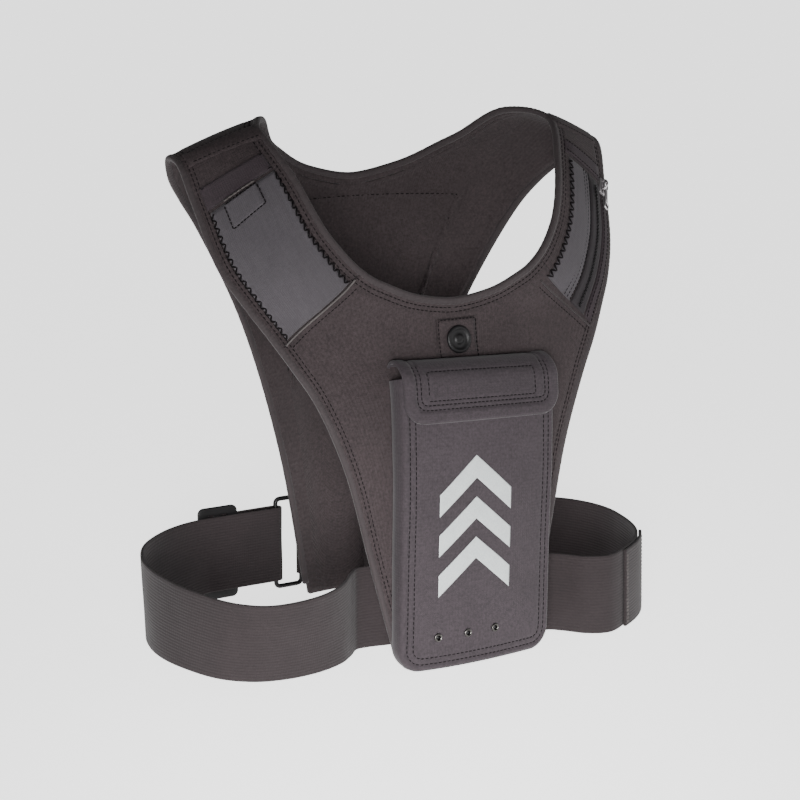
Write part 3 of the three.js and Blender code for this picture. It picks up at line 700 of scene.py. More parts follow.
def looks():
    """The vest's finishes, each named for what the real one is."""
    c = bpy.context.scene.vest_colours
    return {
        # Nylon jersey glued to foam: matt, softly mottled, its loops just visible.
        "neoprene": knit("Jersey-faced neoprene", c.neoprene, 1.5, 1.7, 0.14, 0.34, 0.04, 0.92),
        # The same cloth on the pocket, stretched over a form, so a little smoother and sheenier.
        "pocket": knit(
            "Jersey-faced neoprene, stretched", c.pocket, 1.4, 1.6, 0.1, 0.28, 0.07, 0.86),
        # Grey polyester knit of the strap pockets: finer and cooler, with faint streaks.
        "grey": knit("Grey polyester knit", c.grey_knit, 1.2, 1.3, 0.08, 0.1, 0.06, 0.84, 0.05),
        # A doubled hem of the same kind of knit: darker, matt and a little coarser.
        "hem": knit("Folded knit hem", c.hem, 1.4, 1.5, 0.12, 0.15, 0.03, 0.92),
        # Elastane folded over the cut edge: tight and a little shiny along the fold.
        "binding": knit("Elastane edge binding", c.binding, 0.9, 1.0, 0.08, 0.12, 0.07, 0.8, 0.04),
        # The raw edge of lighter knit that peeps out of a seam: a thin pale line.
        "piping": knit("Light seam edge", c.piping, 0.9, 1.0, 0.08, 0.1, 0.06, 0.8),
        # Tightly woven polyester tape: flat, fine and nearly without sheen.
        "tape": knit("Woven zip tape", c.zip_tape, 0.9, 0.9, 0.08, 0.1, 0.04, 0.85, 0.05),
        # Brushed nylon loops: deep, dull and uneven, as a soft pile is.
        "loop": knit("Loop pile tape", c.hem, 0.8, 0.8, 0.4, 0.3, 0.08, 0.97),
        # Covered rubber woven lengthwise: ribs that follow the belt round, with painted shade
        # darkening the grooves between them.
        "belt": webbing("Ribbed woven elastic", c.webbing),
        # Glass beads printed on cloth: an even, pearly light grey.
        "print": bead_film("Retroreflective print", c.reflective),
        # The same beads in a smoother sheet: darker by day, with a little more gloss.
        "panel": bead_film("Retroreflective panel", tint(c.reflective, 0.6), 1.6, 0.42),
        # Bonded nylon thread: dark and matt, so a row reads as a fine dotted line.
        "thread": hard("Bonded nylon thread", c.thread, 0.0, 0.85, 0.3, 0.05, 0.06),
        "light_thread": hard("Grey nylon thread", c.piping, 0.0, 0.85, 0.3, 0.05, 0.06),
        # Injection-moulded acetal: black, with the soft gloss of a fine mould grain.
        "plastic": hard("Moulded acetal", c.plastic, 0.0, 0.5, shine=0.22),
        # Nylon set hot as a coil: black, and duller than the buckles.
        "coil": hard("Moulded nylon coil", c.plastic, 0.0, 0.55, shine=0.15),
        # Die-cast zinc, tumbled and nickel plated: bright, its edges softened.
        "zip_metal": hard("Tumbled nickel plating on zinc", c.zip_metal, 1.0, 0.36),
        # Stamped brass with a smoked nickel finish: dark, with small sharp glints.
        "nickel": hard("Blackened nickel", c.eyelet, 1.0, 0.28),
    }


# ---- Panels and straps ----
FRONT_SHARES = (9, 4)  # columns of the front's half that end at the neck, and at a strap's seam
BACK_SHARES = (15, 3)  # columns of the back's half that end at the neck, and at the shoulder


def front_top(u):
    """(s, t) where the front panel's column ends: on the neck, or on the seam with a strap."""
    at_neck, at_seam = FRONT_SHARES
    column = abs(2 * u - 1) * (at_neck + at_seam)
    if column <= at_neck:
        return neck_at(NECK_AT_SEAM * column / at_neck)
    s, t = neck_at(NECK_AT_SEAM)
    k = (column - at_neck) / at_seam
    return mix(s, 1, k), mix(t, SEAM_OUTER, k)


def back_top(u):
    """(s, t) where the back panel's column ends: on the neck, or on the shoulder seam."""
    at_neck, at_ridge = BACK_SHARES
    column = abs(2 * u - 1) * (at_neck + at_ridge)
    if column <= at_neck:
        return neck_at(NECK_SPANS - (NECK_SPANS - NECK_AT_RIDGE) * column / at_neck)
    s, _ = neck_at(NECK_AT_RIDGE)
    return mix(s, 1, (column - at_neck) / at_ridge), RIDGE


def neck_rows(height):
    """Twin rows all round the neck, on the outer face or the inner one."""
    return [neck_row(inset, height) for inset in NECK_ROWS]


def side_rows(height):
    """Twin rows along both side edges, from the front's foot to the back's foot."""
    return [edge_row(side, inset, height, 0.2, STATIONS - 0.2, 330)
            for side in (RIGHT, LEFT) for inset in SIDE_ROWS]


def back_patch_rows(height):
    """The stitched outline of the patch on the back, for either face of the cloth."""
    corners = [(-0.66, 12.8), (0.66, 12.8), (0.66, 14.5), (-0.66, 14.5), (-0.66, 12.8)]
    row = []
    for (s0, t0), (s1, t1) in zip(corners, corners[1:]):
        for k in range(40):
            s, t = mix(s0, s1, k / 40), mix(t0, t1, k / 40)
            row.append((lift(s, t, height), form_normal(s, t)))
    return [row]


def make_panels():
    look, slot = looks()["neoprene"], "neoprene_charcoal"
    rows = neck_rows(SKIN) + side_rows(SKIN)

    def front(u, v):
        s, t = front_top(u)
        return lift((-1 if u < 0.5 else 1) * s, mix(PANEL_FOOT, t, v), SKIN)

    def back(u, v):
        s, t = back_top(u)
        return lift((-1 if u < 0.5 else 1) * s, mix(t, STATIONS, v), SKIN)

    bm = facing_out(cloth(150, 130, front), Vector((0, -1, 0)))
    press_in(bm, rows + stud_tab_rows(SKIN), 1.9, 0.55)
    piece = wall(finish("front_neoprene", bm, look, slot, replaces=["front_panel"]), 2 * SKIN)

    bm = facing_out(cloth(130, 130, back), Vector((0, 1, 0)))
    press_in(bm, rows + back_patch_rows(SKIN), 1.9, 0.45)
    piece = wall(finish("back_neoprene", bm, look, slot, replaces=["back_panel"]), 2 * SKIN)

    for side, word in ((RIGHT, "right"), (LEFT, "left")):
        bm = cloth(46, 90, lambda u, v, side=side: strap_point(side, u, v, SKIN))
        facing_out(bm, Vector(strap_facing(side)))
        press_in(bm, rows, 1.9, 0.5)
        replaced = [f"{word}_shoulder_strap"]
        piece = finish(f"{word}_strap_neoprene", bm, look, slot, replaces=replaced)
        wall(piece, 2 * SKIN)


# ---- Bindings and seams ----
GATHER = 5.2  # from one gather of the binding to the next
NECK_RUN, EDGE_RUN = 720, 760  # how long the bindings are
# Each roll of binding, in millimetres: how far its middle stands past the edge, and its half sizes.
NECK_ROLL = (1.3, 2.4, 1.9)
EDGE_ROLLS = ((RIGHT, "right", 0.9, 2.2, 1.85), (LEFT, "left", 1.6, 2.7, 1.85))


def gathered(half_wide, half_high, length):
    """The rounded section of a binding that its stitching gathers along its length."""
    shape = rounded(half_wide, half_high, 2.5)
    pucker = bpy.context.scene.vest_sizes.binding_pucker / MM

    def section(angle, v):
        a, b = shape(angle, v)
        wave = 1 + pucker / half_high * math.sin(math.tau * v * length / GATHER) * 0.5
        return a, b * wave
    return section


def make_bindings():
    look = looks()["binding"]
    neck_past, *half_sizes = NECK_ROLL

    def neck_centre(v):
        s, t, normal, inward = neck_frame(v)
        return form_point(s, t) + inward * neck_past, inward, normal

    bm = tube(18, 620, neck_centre, gathered(*half_sizes, NECK_RUN), True)
    finish("neck_binding_roll", bm, look, "edge_binding", replaces=["neck_binding"])
    for side, word, past, half_wide, half_high in EDGE_ROLLS:
        def centre(v, side=side, past=past):
            t = mix(0.12, STATIONS - 0.08, v)
            normal, outward = edge_frame(side, t)
            return form_point(side, t) + outward * past, outward, normal

        bm = tube(16, 640, centre, gathered(half_wide, half_high, EDGE_RUN), False)
        replaced = [f"{word}_edge_binding"]
        finish(f"{word}_edge_binding_roll", bm, look, "edge_binding", replaces=replaced)


def seam_row(side, height, below=0.0):
    """The seam where a strap meets the front, from the neck's side to the outer edge."""
    s0, t0 = neck_at(NECK_AT_SEAM)
    drop = LEFT_SEAM_DROP if side == LEFT else 0.0
    row = []
    for k in range(61):
        s = mix(s0 + 0.025, 0.975, k / 60)
        t = mix(t0, SEAM_OUTER, (s - s0) / (1 - s0)) - drop - below
        row.append((lift(side * s, t, height), form_normal(side * s, t)))
    return row


def make_seams():
    found = looks()
    for side, word, edge in ((RIGHT, "right", "piping"), (LEFT, "left", "binding")):
        path = Line([p for p, _ in seam_row(side, SKIN + 0.45)[::4]])

        def centre(v, path=path, side=side):
            point, along = path.at(v), path.heading(min(max(v, 0.001), 0.999))
            normal = form_normal(side * 0.75, 5.2)
            wide = along.cross(normal).normalized()
            return point, wide, wide.cross(along).normalized()

        bm = tube(12, 160, centre, rounded(0.5, 0.5), False)
        replaced = [f"{word}_seam_piping"]
        finish(f"{word}_seam_edge", bm, found[edge], "seam_piping", replaces=replaced)

        def tape(u, v, side=side):
            crown = 1.3 + 1.4 * (1 - (2 * v - 1) ** 4) * (1 - (2 * u - 1) ** 10)
            return lift(side * mix(0.69, 0.985, u), mix(RIDGE - 0.25, RIDGE + 0.25, v), crown)

        patch(f"{word}_shoulder_tape_sewn", (40, 20), tape, (0, 0, 1), found["neoprene"],
              "neoprene_charcoal", [f"{word}_shoulder_tape"], thick=0.8)


def patch_rim(side, us, vs, height, inset=0.0, sides="lrbt"):
    """Rows along the sides of a strap patch: l near the neck, r outer, b low, t high."""
    (u0, u1), (v0, v1) = us, vs
    ends = {
        "l": ((u0 + inset, v0), (u0 + inset, v1)), "r": ((u1 - inset, v0), (u1 - inset, v1)),
        "b": ((u0, v0 + inset), (u1, v0 + inset)), "t": ((u0, v1 - inset), (u1, v1 - inset)),
    }
    found = []
    for key in sides:
        (ua, va), (ub, vb) = ends[key]
        found.append([
            (strap_point(side, u, v, height), strap_normal(side, u, v))
            for u, v in ((mix(ua, ub, k / 30), mix(va, vb, k / 30)) for k in range(31))
        ])
    return found


def strap_patch(name, side, us, vs, low, high, look, slot, replaces, grid, tuck, puff=0.0):
    """A patch sewn to a strap: its rim is tucked down to the strap and its middle stands up."""
    def place(u, v):
        rim = min(u, 1 - u, (v if v < 0.5 else 1 - v) * 1.7)
        rise = min(1.0, rim / tuck)
        height = mix(low, high, rise * (2 - rise))
        swell = puff * math.sin(math.pi * u) * math.sin(math.pi * v)
        return strap_point(side, mix(*us, u), mix(*vs, v), height + swell)

    patch(name, grid, place, strap_facing(side), look, slot, [replaces])


# Where each patch lies on its strap: from the neck to the outer edge, and from the seam upwards.
RIGHT_PATCH = ((0.1, 0.9), (0.012, 0.73))
RIGHT_HEM = ((0.1, 0.92), (0.742, 0.84))
CLOSURE = ((0.34, 0.74), (0.63, 0.722))
LEFT_RISE = (-0.08, 0.73)
LEFT_PATCH = ((0.17, 0.55), LEFT_RISE)
LEFT_BAND = ((0.1, 0.9), (0.75, 0.83))
LEFT_SIDE = ((0.83, 0.95), LEFT_RISE)
ZIP_TAPE = ((0.57, 0.81), LEFT_RISE)
ZIP_U = 0.69


def make_right_strap_pocket():
    found = looks()
    strap_patch("right_strap_pocket_cloth", RIGHT, *RIGHT_PATCH, SKIN + 0.2, PATCH_TOP,
                found["grey"], "grey_knit", "right_strap_pocket", (60, 110), 0.05, 0.9)
    strap_patch("right_strap_pocket_hem_fold", RIGHT, *RIGHT_HEM, SKIN + 0.1, PATCH_TOP,
                found["hem"], "dark_hem", "right_strap_pocket_hem", (50, 20), 0.16)
    strap_patch("right_strap_closure_tab", RIGHT, *CLOSURE, PATCH_TOP + 0.6,
                UPPER_PATCH_TOP + 0.3, found["grey"], "hook_loop", "right_strap_closure",
                (40, 24), 0.1)
    bm = bmesh.new()
    for key in "lr":
        low, = patch_rim(RIGHT, *RIGHT_PATCH, SKIN + 0.35, -0.018, key)
        high, = patch_rim(RIGHT, *RIGHT_PATCH, PATCH_TOP + 0.1, 0.032, key)
        zigzag(bm, low, high)
    runs = [(row,) for row in patch_rim(RIGHT, *RIGHT_HEM, SKIN + 0.9, 0.008, "tb")]
    for row in patch_rim(RIGHT, *CLOSURE, UPPER_PATCH_TOP):
        runs.append(([(p - n * 0.35, n) for p, n in row], 2.4, 0.9, 0.95))
    stitched("right_strap_stitching", runs, found["thread"], bm=bm)
    fold, = patch_rim(RIGHT, *CLOSURE, UPPER_PATCH_TOP, -0.012, "t")
    stitched("right_strap_closure_fold", [(fold, 3.0, 1.2, 1.2)], found["light_thread"],
             "edge_binding")


def make_left_strap_pocket():
    found = looks()
    strap_patch("left_strap_pocket_cloth", LEFT, *LEFT_PATCH, SKIN + 0.2, PATCH_TOP,
                found["grey"], "grey_knit", "left_strap_pocket", (40, 120), 0.08, 0.5)
    strap_patch("left_strap_band_cloth", LEFT, *LEFT_BAND, SKIN + 0.1, PATCH_TOP,
                found["hem"], "reflective_print", "left_strap_light_band", (50, 16), 0.2)
    strap_patch("left_strap_side_cloth", LEFT, *LEFT_SIDE, SKIN + 0.1, PATCH_TOP,
                found["hem"], "dark_hem", "left_strap_side_band", (12, 100), 0.25)
    strap_patch("left_zip_tape_woven", LEFT, *ZIP_TAPE, SKIN + 0.3, PATCH_TOP - 0.1,
                found["tape"], "zip_tape", "left_zip_tape", (20, 110), 0.12)
    bm = bmesh.new()
    low, = patch_rim(LEFT, *LEFT_PATCH, SKIN + 0.35, -0.022, "l")
    high, = patch_rim(LEFT, *LEFT_PATCH, PATCH_TOP + 0.1, 0.035, "l")
    zigzag(bm, low, high)
    runs = []
    for inset in (0.02, 0.07, 0.12):
        row, = patch_rim(LEFT, *LEFT_PATCH, PATCH_TOP + 0.1, inset, "r")
        runs.append((row, 2.6, 0.7))
    for row in (*patch_rim(LEFT, *LEFT_SIDE, PATCH_TOP, 0.02, "lr"),
                *patch_rim(LEFT, *LEFT_BAND, PATCH_TOP, 0.01, "tb")):
        runs.append((row, 2.8, 0.7))
    stitched("left_strap_stitching", runs, found["thread"], bm=bm)


# ---- The zip, in millimetres ----
COIL_PITCH, COIL_GIRTH, COIL_HALF, COIL_SHIFT = 1.15, 1.2, 1.25, 0.45
SLIDER_SIZE = (7.4, 10.8, 2.5)
PULL_STEM = (3.2, 9.4, 1.1)
WIRE_RADIUS = 0.62


def round_edges(bm, edges, width, segments=2):
    """Rounds edges by a width in millimetres."""
    bmesh.ops.bevel(bm, geom=edges, offset=width * MM, offset_type="OFFSET", segments=segments,
                    profile=0.5, affect="EDGES", material=-1)


def zip_seat(node, across, up, out):
    """The axes of the slider or the pull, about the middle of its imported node."""
    low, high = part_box(node)
    return axes(across, up, out, (low + high) / 2)


def make_zip():
    found = looks()
    row = []
    for k in range(81):
        v = mix(-0.06, 0.7, k / 80)
        row.append((strap_point(LEFT, ZIP_U, v, PATCH_TOP + 0.4), strap_normal(LEFT, ZIP_U, v)))
    bm, marks, legs = bmesh.new(), along_row(row, COIL_PITCH), []
    for k, (p, n) in enumerate(marks[:-1]):
        aside = n.cross(marks[k + 1][0] - p).normalized()
        shift = COIL_SHIFT if k % 2 else -COIL_SHIFT
        legs.append((p + aside * (shift - COIL_HALF), p + aside * (shift + COIL_HALF), n))
    sew(bm, legs, COIL_GIRTH)
    finish("left_zip_coil", bm, found["coil"], "zip_teeth", replaces=["left_zip_teeth"])

    # The slider's body is waisted and crowned, and a bridge for the pull stands on it.
    joints = {j["name"]: j for j in frame["joints"]}
    up = -Vector(joints["zip_slide"]["axis"]).normalized()
    across = -Vector(joints["zip_pull_hinge"]["axis"]).normalized()
    out = across.cross(up).normalized()
    bm = bmesh.new()
    bmesh.ops.create_cube(bm, size=1.0)
    bmesh.ops.subdivide_edges(bm, edges=bm.edges, cuts=3, use_grid_fill=True)
    wide, high, deep = SLIDER_SIZE
    for vert in bm.verts:
        x, y, z = vert.co
        waist = 0.74 + 0.26 * math.cos((y + 0.12) * 2.4) + 0.14 * max(0.0, y)
        crown = 1.0 - 0.35 * (4 * x * x) - 0.2 * (4 * y * y)
        vert.co = Vector((x * wide * waist, y * high, z * deep * crown)) * MM
    round_edges(bm, [e for e in bm.edges if e.calc_face_angle(0) > 0.9], 0.35)
    angles = [math.pi * k / 24 for k in range(25)]
    bridge = [Vector((0, 1.6 + 3.0 * math.cos(a), 1.0 + 3.0 * math.sin(a))) for a in angles]
    wire(bm, bridge, WIRE_RADIUS, closed=False)
    turn = zip_seat("left_zip_slider", across, up, out)
    bmesh.ops.transform(bm, matrix=turn, verts=bm.verts)
    finish("left_zip_slider_cast", bm, found["zip_metal"], "zip_metal", SLIDER, ["left_zip_slider"])

    # The pull is a flat stem between two wire loops.
    bm = bmesh.new()
    wire(bm, oval(2.1, 3.0, 6.7), WIRE_RADIUS)
    wire(bm, oval(2.0, 2.4, -7.2), 0.6)
    stem = bmesh.ops.create_cube(bm, size=1.0)["verts"]
    wide, high, deep = PULL_STEM
    for vert in stem:
        x, y, z = vert.co
        vert.co = Vector((x * wide, y * high - 0.4, z * deep)) * MM
    round_edges(bm, list({e for v in stem for e in v.link_edges}), 0.3)
    turn = zip_seat("left_zip_pull", across, up, out)
    bmesh.ops.transform(bm, matrix=turn, verts=bm.verts)
    finish("left_zip_pull_tab", bm, found["zip_metal"], "zip_metal", PULL, ["left_zip_pull"])


def oval(half_wide, half_high, middle):
    """Points of an upright oval whose middle lies on the Y axis."""
    turns = [math.tau * k / 28 for k in range(28)]
    return [Vector((half_wide * math.cos(a), middle + half_high * math.sin(a), 0)) for a in turns]


def wire(bm, points, radius, closed=True, sides=10):
    """A round wire through points that lie in one plane, in millimetres about the origin."""
    count = len(points)
    plane = (points[count // 3] - points[0]).cross(points[2 * count // 3] - points[0]).normalized()
    rings = []
    for k, point in enumerate(points):
        before = points[k - 1] if k or closed else point
        after = points[(k + 1) % count] if k < count - 1 or closed else point
        along = (after - before).normalized()
        seat = axes(along.cross(plane), plane, along, point * MM)
        made = bmesh.ops.create_circle(
            bm, segments=sides, radius=radius * MM, cap_ends=False, matrix=seat)
        rings.append(made["verts"])
    for pair in zip(rings, rings[1:] + rings[:1] if closed else rings[1:]):
        edges = {e for ring in pair for v in ring for e in v.link_edges if e.other_vert(v) in ring}
        bmesh.ops.bridge_loops(bm, edges=list(edges))
    if not closed:
        for ring in (rings[0], rings[-1]):
            bmesh.ops.contextual_create(bm, geom=ring)
    faces = list({f for ring in rings for v in ring for f in v.link_faces})
    bmesh.ops.recalc_face_normals(bm, faces=faces)


# ---- Stud and its tab ----
def stud_tab_rows(height):
    """The stitching round the stud's tab: up one side, over the top and down the other."""
    x, z = STUD_AT
    corners = [(x - 13.2, z - 15), (x - 13.2, z + 12.4), (x + 13.2, z + 12.4), (x + 13.2, z - 15)]
    row = []
    for (x0, z0), (x1, z1) in zip(corners, corners[1:]):
        for k in range(24):
            px, pz = mix(x0, x1, k / 24), mix(z0, z1, k / 24)
            row.append((chest(px, pz, height), chest_normal(px, pz)))
    return [row]


def lathe(bm, profile, matrix, steps=48):
    """Spins a profile of (radius, height) pairs about the matrix's Z axis. Millimetres."""
    verts = [bm.verts.new(Vector((r * MM, 0, h * MM))) for r, h in profile]
    edges = [bm.edges.new(pair) for pair in zip(verts, verts[1:])]
    bmesh.ops.spin(bm, geom=verts + edges, cent=(0, 0, 0), axis=(0, 0, 1), angle=math.tau,
                   steps=steps, use_merge=True, use_duplicate=False)
    bmesh.ops.remove_doubles(bm, verts=bm.verts, dist=0.005 * MM)
    bmesh.ops.recalc_face_normals(bm, faces=bm.faces)
    bmesh.ops.transform(bm, matrix=matrix, verts=bm.verts)


def seat_matrix(base, normal):
    """Axes at a place on the form, in metres, with Z along the normal and Y upwards."""
    up = (Vector((0, 0, 1)) - normal * normal.z).normalized()
    return axes(up.cross(normal), up, normal, to_world(base))


# The press stud's section, as (radius, height) in millimetres: a domed rim round a dished middle.
STUD_PROFILE = [
    (0, 0), (8.2, 0), (8.5, 0.3), (8.45, 0.8), (8.1, 1.3), (7.5, 1.6), (6.8, 1.65), (6.2, 1.45),
    (5.8, 1.0), (5.2, 0.75), (3.6, 0.7), (3.1, 0.95), (2.6, 1.45), (1.8, 1.65), (0.9, 1.6),
    (0, 1.55),
]


def make_stud():
    found = looks()
    x, z = STUD_AT

    def tab(u, v):
        rim = min(u, 1 - u, v, 1 - v)
        crown = mix(SKIN + 0.25, PATCH_TOP - 0.3, min(1.0, rim / 0.09))
        return chest(x + (u - 0.5) * 27, mix(z - 8, z + 13, v), crown)

    patch("stud_tab_cloth", (40, 34), tab, (0, -1, 0), found["neoprene"], "neoprene_charcoal",
          ["stud_tab"], stud_tab_rows(PATCH_TOP))
    runs = [(row, 2.6, 0.75) for row in stud_tab_rows(PATCH_TOP - 0.2)]
    stitched("stud_tab_stitching", runs, found["thread"])
    bm = bmesh.new()
    lathe(bm, STUD_PROFILE, seat_matrix(chest(x, z, PATCH_TOP + 0.3), chest_normal(x, z)))
    finish("press_stud_cap", bm, found["plastic"], "black_plastic", replaces=["press_stud"])


# ---- Phone pocket ----
def rim_distance(x, z, half, corner):
    """How far a place lies from the outline of a cloth whose corners at z = 0 are rounded."""
    dx, dz = abs(x) - (half - corner), corner - z
    if dx > 0 and dz > 0:
        return corner - math.hypot(dx, dz)
    return min(half - abs(x), z)


def roll_edge(rim, radius, lip, groove, stitches):
    """The height of a sewn, rolled edge: round at the rim, proud behind it, sunk at its rows."""
    if rim < radius:
        return lip - radius + math.sqrt(max(0.0, radius ** 2 - (radius - rim) ** 2))
    puff = lip * math.exp(-(max(0.0, rim - stitches[0] + 2.5) / 1.8) ** 2)
    sunk = sum(math.exp(-((rim - at) / 0.9) ** 2) for at in stitches)
    return puff - groove * sunk


def face_height(x, z):
    """The pocket face's outer surface over the chest."""
    rim = rim_distance(x, z, POCKET_HALF, POCKET_CORNER)
    swell = 0.9 * (1 - (x / POCKET_HALF) ** 2) * math.sin(math.pi * min(max(z / 140, 0), 1))
    return FACE_HEIGHT - 0.5 + roll_edge(rim, 3.2, 0.5, 0.4, BAG_STITCHES) + swell


def half_width(z, inset=0.0):
    """Half the pocket's width at a height over its foot."""
    radius = POCKET_CORNER - inset
    rise = min(max(z - inset, 0.0), radius)
    return POCKET_HALF - inset - radius + math.sqrt(max(0.0, radius ** 2 - (radius - rise) ** 2))


def spread(share):
    """Crowds a share from 0 to 1 towards both ends."""
    return share - 0.55 * math.sin(math.tau * share) / math.tau


def make_phone_pocket():
    found = looks()
    wall_u, wall_v = 0.07, 0.06  # the shares of the bag's cloth in each side wall and in its foot

    def place(u, v):
        depth = max(0.0, -(u - wall_u) / wall_u, (u - 1 + wall_u) / wall_u, -(v - wall_v) / wall_v)
        share_u = spread(min(max((u - wall_u) / (1 - 2 * wall_u), 0.0), 1.0))
        share_v = min(max((v - wall_v) / (1 - wall_v), 0.0), 1.0)
        share_v = mix(share_v, share_v ** 2, 0.6)
        z = share_v * POCKET_TOP
        x = (2 * share_u - 1) * half_width(z)
        if depth <= 0:
            return pocket_point(x, z, face_height(x, z))
        bulge = 1 + 0.016 * math.sin(math.pi * depth)
        top = FACE_HEIGHT - 3.2
        return pocket_point(x * bulge, z - 0.5 * math.sin(math.pi * depth) * (z < 3),
                            mix(top, POCKET_SEAT + 0.3, min(depth, 1.0)))

    def keep(u, v):
        return not (v < wall_v and (u < wall_u or u > 1 - wall_u))

    bm = facing_out(cloth(100, 100, place, keep=keep), Vector((0, -1, 0)))
    bag = finish("phone_pocket_bag", bm, found["pocket"], "pocket_cloth",
                 replaces=["pocket_front", "pocket_gusset"])
    wall(bag, 1.3, rounding=0.35)

    def lining(u, v):
        z = mix(0.4, POCKET_TOP - 0.5, mix(v, v * v, 0.6))
        return pocket_point((2 * u - 1) * half_width(z, 0.4), z, POCKET_SEAT + 0.9)

    patch("phone_pocket_lining", (40, 60), lining, (0, -1, 0), found["neoprene"], "pocket_cloth",
          ["pocket_back"], thick=0.9)

    mouth = [(x, POCKET_TOP - 5) for x in range(-42, 43, 2)]
    rows = [pocket_outline(inset, POCKET_TOP - 2) for inset in BAG_STITCHES]
    rows.append([(pocket_point(x, z, face_height(x, z) + 0.05), pocket_normal(x, z))
                 for x, z in mouth])
    stitched("phone_pocket_stitching", [(row, 2.9, 0.7) for row in rows], found["thread"])

    def tape(u, v):
        rim = min(u, 1 - u, v, 1 - v)
        rise = FACE_HEIGHT + 0.3 + 0.55 * min(1.0, rim / 0.06)
        return pocket_point((u - 0.5) * 72, mix(150, 168, v), rise)

    patch("pocket_loop_tape_pile", (60, 20), tape, (0, -1, 0), found["loop"], "hook_loop",
          ["pocket_loop_tape"], thick=0.5)


def u_outline(half, corner, top, inset, straight, turn):
    """Places inside a cloth's outline: down one side, round its foot at 0 and up the other side.
    straight and turn count the places along a side and round a corner."""
    radius, half = corner - inset, half - inset
    places = [(-half, mix(top, corner, k / straight)) for k in range(straight + 1)]
    for k in range(1, turn):
        angle = math.pi / 2 * k / turn
        across, down = radius * math.cos(angle), radius * math.sin(angle)
        places.append((-half + radius - across, corner - down))
    places += [(mix(-half + radius, 0, k / 20), inset) for k in range(21)]
    return places + [(-x, z) for x, z in reversed(places[:-1])]


def pocket_outline(inset, top):
    """A row of stitching inside the pocket's outline."""
    places = u_outline(POCKET_HALF, POCKET_CORNER, top, inset, 90, 24)
    return [(pocket_point(x, z, face_height(x, z) + 0.12), pocket_normal(x, z)) for x, z in places]


# ---- The flap ----
# The flap's inner face from its root to its lip, by height over the chest and over the hem.
FLAP_PROFILE = Line([
    (2.5, 177, 0), (7, 179, 0), (13, 177.5, 0), (19.75, 170, 0), (20.25, 162, 0), (20.25, 146, 0),
])
FLAP_STEPS = 400
FLAP_SAMPLES = [FLAP_PROFILE.at(k / FLAP_STEPS) for k in range(FLAP_STEPS + 1)]
FLAP_RUNS = [0.0, *accumulate((b - a).length for a, b in zip(FLAP_SAMPLES, FLAP_SAMPLES[1:]))]
FLAP_LENGTH = FLAP_RUNS[-1]


def flap_half(run):
    """Half the flap's width at a distance along it from its root."""
    left = min(FLAP_LENGTH - run, FLAP_CORNER)
    reach = math.sqrt(max(0.0, FLAP_CORNER ** 2 - (FLAP_CORNER - left) ** 2))
    return FLAP_HALF - FLAP_CORNER + reach


def flap_point(x, run, rise):
    """A place on the flap, by its distance from the middle and along the flap from its root."""
    share = bisect.bisect_left(FLAP_RUNS, min(max(run, 0), FLAP_LENGTH)) / FLAP_STEPS
    p, along = FLAP_PROFILE.at(share), FLAP_PROFILE.heading(min(max(share, 0.002), 0.998))
    return pocket_point(x, p.y + along.x * rise, p.x - along.y * rise)


def flap_rise(x, run):
    """The flap's outer face over its inner one: rolled edges, twin stitching and the tape's box."""
    left = FLAP_LENGTH - run
    rim = rim_distance(x, left, FLAP_HALF, FLAP_CORNER)
    rise = FLAP_THICK - 0.4 + roll_edge(rim, 2.2, 0.7, 0.5, FLAP_STITCHES)
    x0, x1, left0, left1 = TAPE_BOX
    if x0 - 1.5 < x < x1 + 1.5 and left0 - 1.5 < left < left1 + 1.5:
        across = abs(abs(x - (x0 + x1) / 2) - (x1 - x0) / 2)
        along = abs(abs(left - (left0 + left1) / 2) - (left1 - left0) / 2)
        rise -= 0.45 * math.exp(-(min(across, along) / 0.9) ** 2)
    return max(rise, 0.35)


def flap_row(places):
    """A row of stitching on the flap, through places given from its middle and from its lip."""
    row = []
    for x, left in places:
        run = FLAP_LENGTH - left
        inner, outer = flap_point(x, run, 0), flap_point(x, run, 1)
        row.append((flap_point(x, run, flap_rise(x, run) + 0.12), (outer - inner).normalized()))
    return row


def make_flap():
    found = looks()
    before, crease, after = (
        to_world(flap_point(0, FLAP_TURN + shift, 0.6)) for shift in (-4, 0, 4)
    )
    reach = (after - before).normalized() * 2.2 * MM
    span = (VEST, FLAP, crease - reach, crease + reach)

    def place(u, v):
        run = FLAP_LENGTH * v
        x = (2 * spread(u) - 1) * flap_half(run)
        return flap_point(x, run, flap_rise(x, run))

    bm = facing_out(cloth(120, 90, place), Vector((0, -1, 0.4)))
    flap = finish("pocket_flap_cover", bm, found["pocket"], "pocket_cloth",
                  replaces=["flap_root", "pocket_flap"], blend=span)
    wall(flap, 1.6, rounding=0.3)

    runs = []
    for inset in FLAP_STITCHES:
        places = u_outline(FLAP_HALF, FLAP_CORNER, FLAP_LENGTH - 15, inset, 40, 14)
        runs.append((flap_row(places), 2.8, 0.75))
    x0, x1, left0, left1 = TAPE_BOX
    corners = [(x0, left0), (x1, left0), (x1, left1), (x0, left1), (x0, left0)]
    places = []
    for (xa, la), (xb, lb) in zip(corners, corners[1:]):
        places += [(mix(xa, xb, k / 30), mix(la, lb, k / 30)) for k in range(30)]
    runs.append((flap_row(places), 2.8, 0.7))
    stitched("pocket_flap_stitching", runs, found["thread"], body=FLAP)

    def hook(u, v):
        return flap_point((u - 0.5) * 72, FLAP_LENGTH - mix(23, 9, v), -0.2)

    patch("pocket_flap_hook_tape", (60, 14), hook, (0, 1, 0), found["loop"], "hook_loop",
          thick=0.5, offset=1.0, body=FLAP)


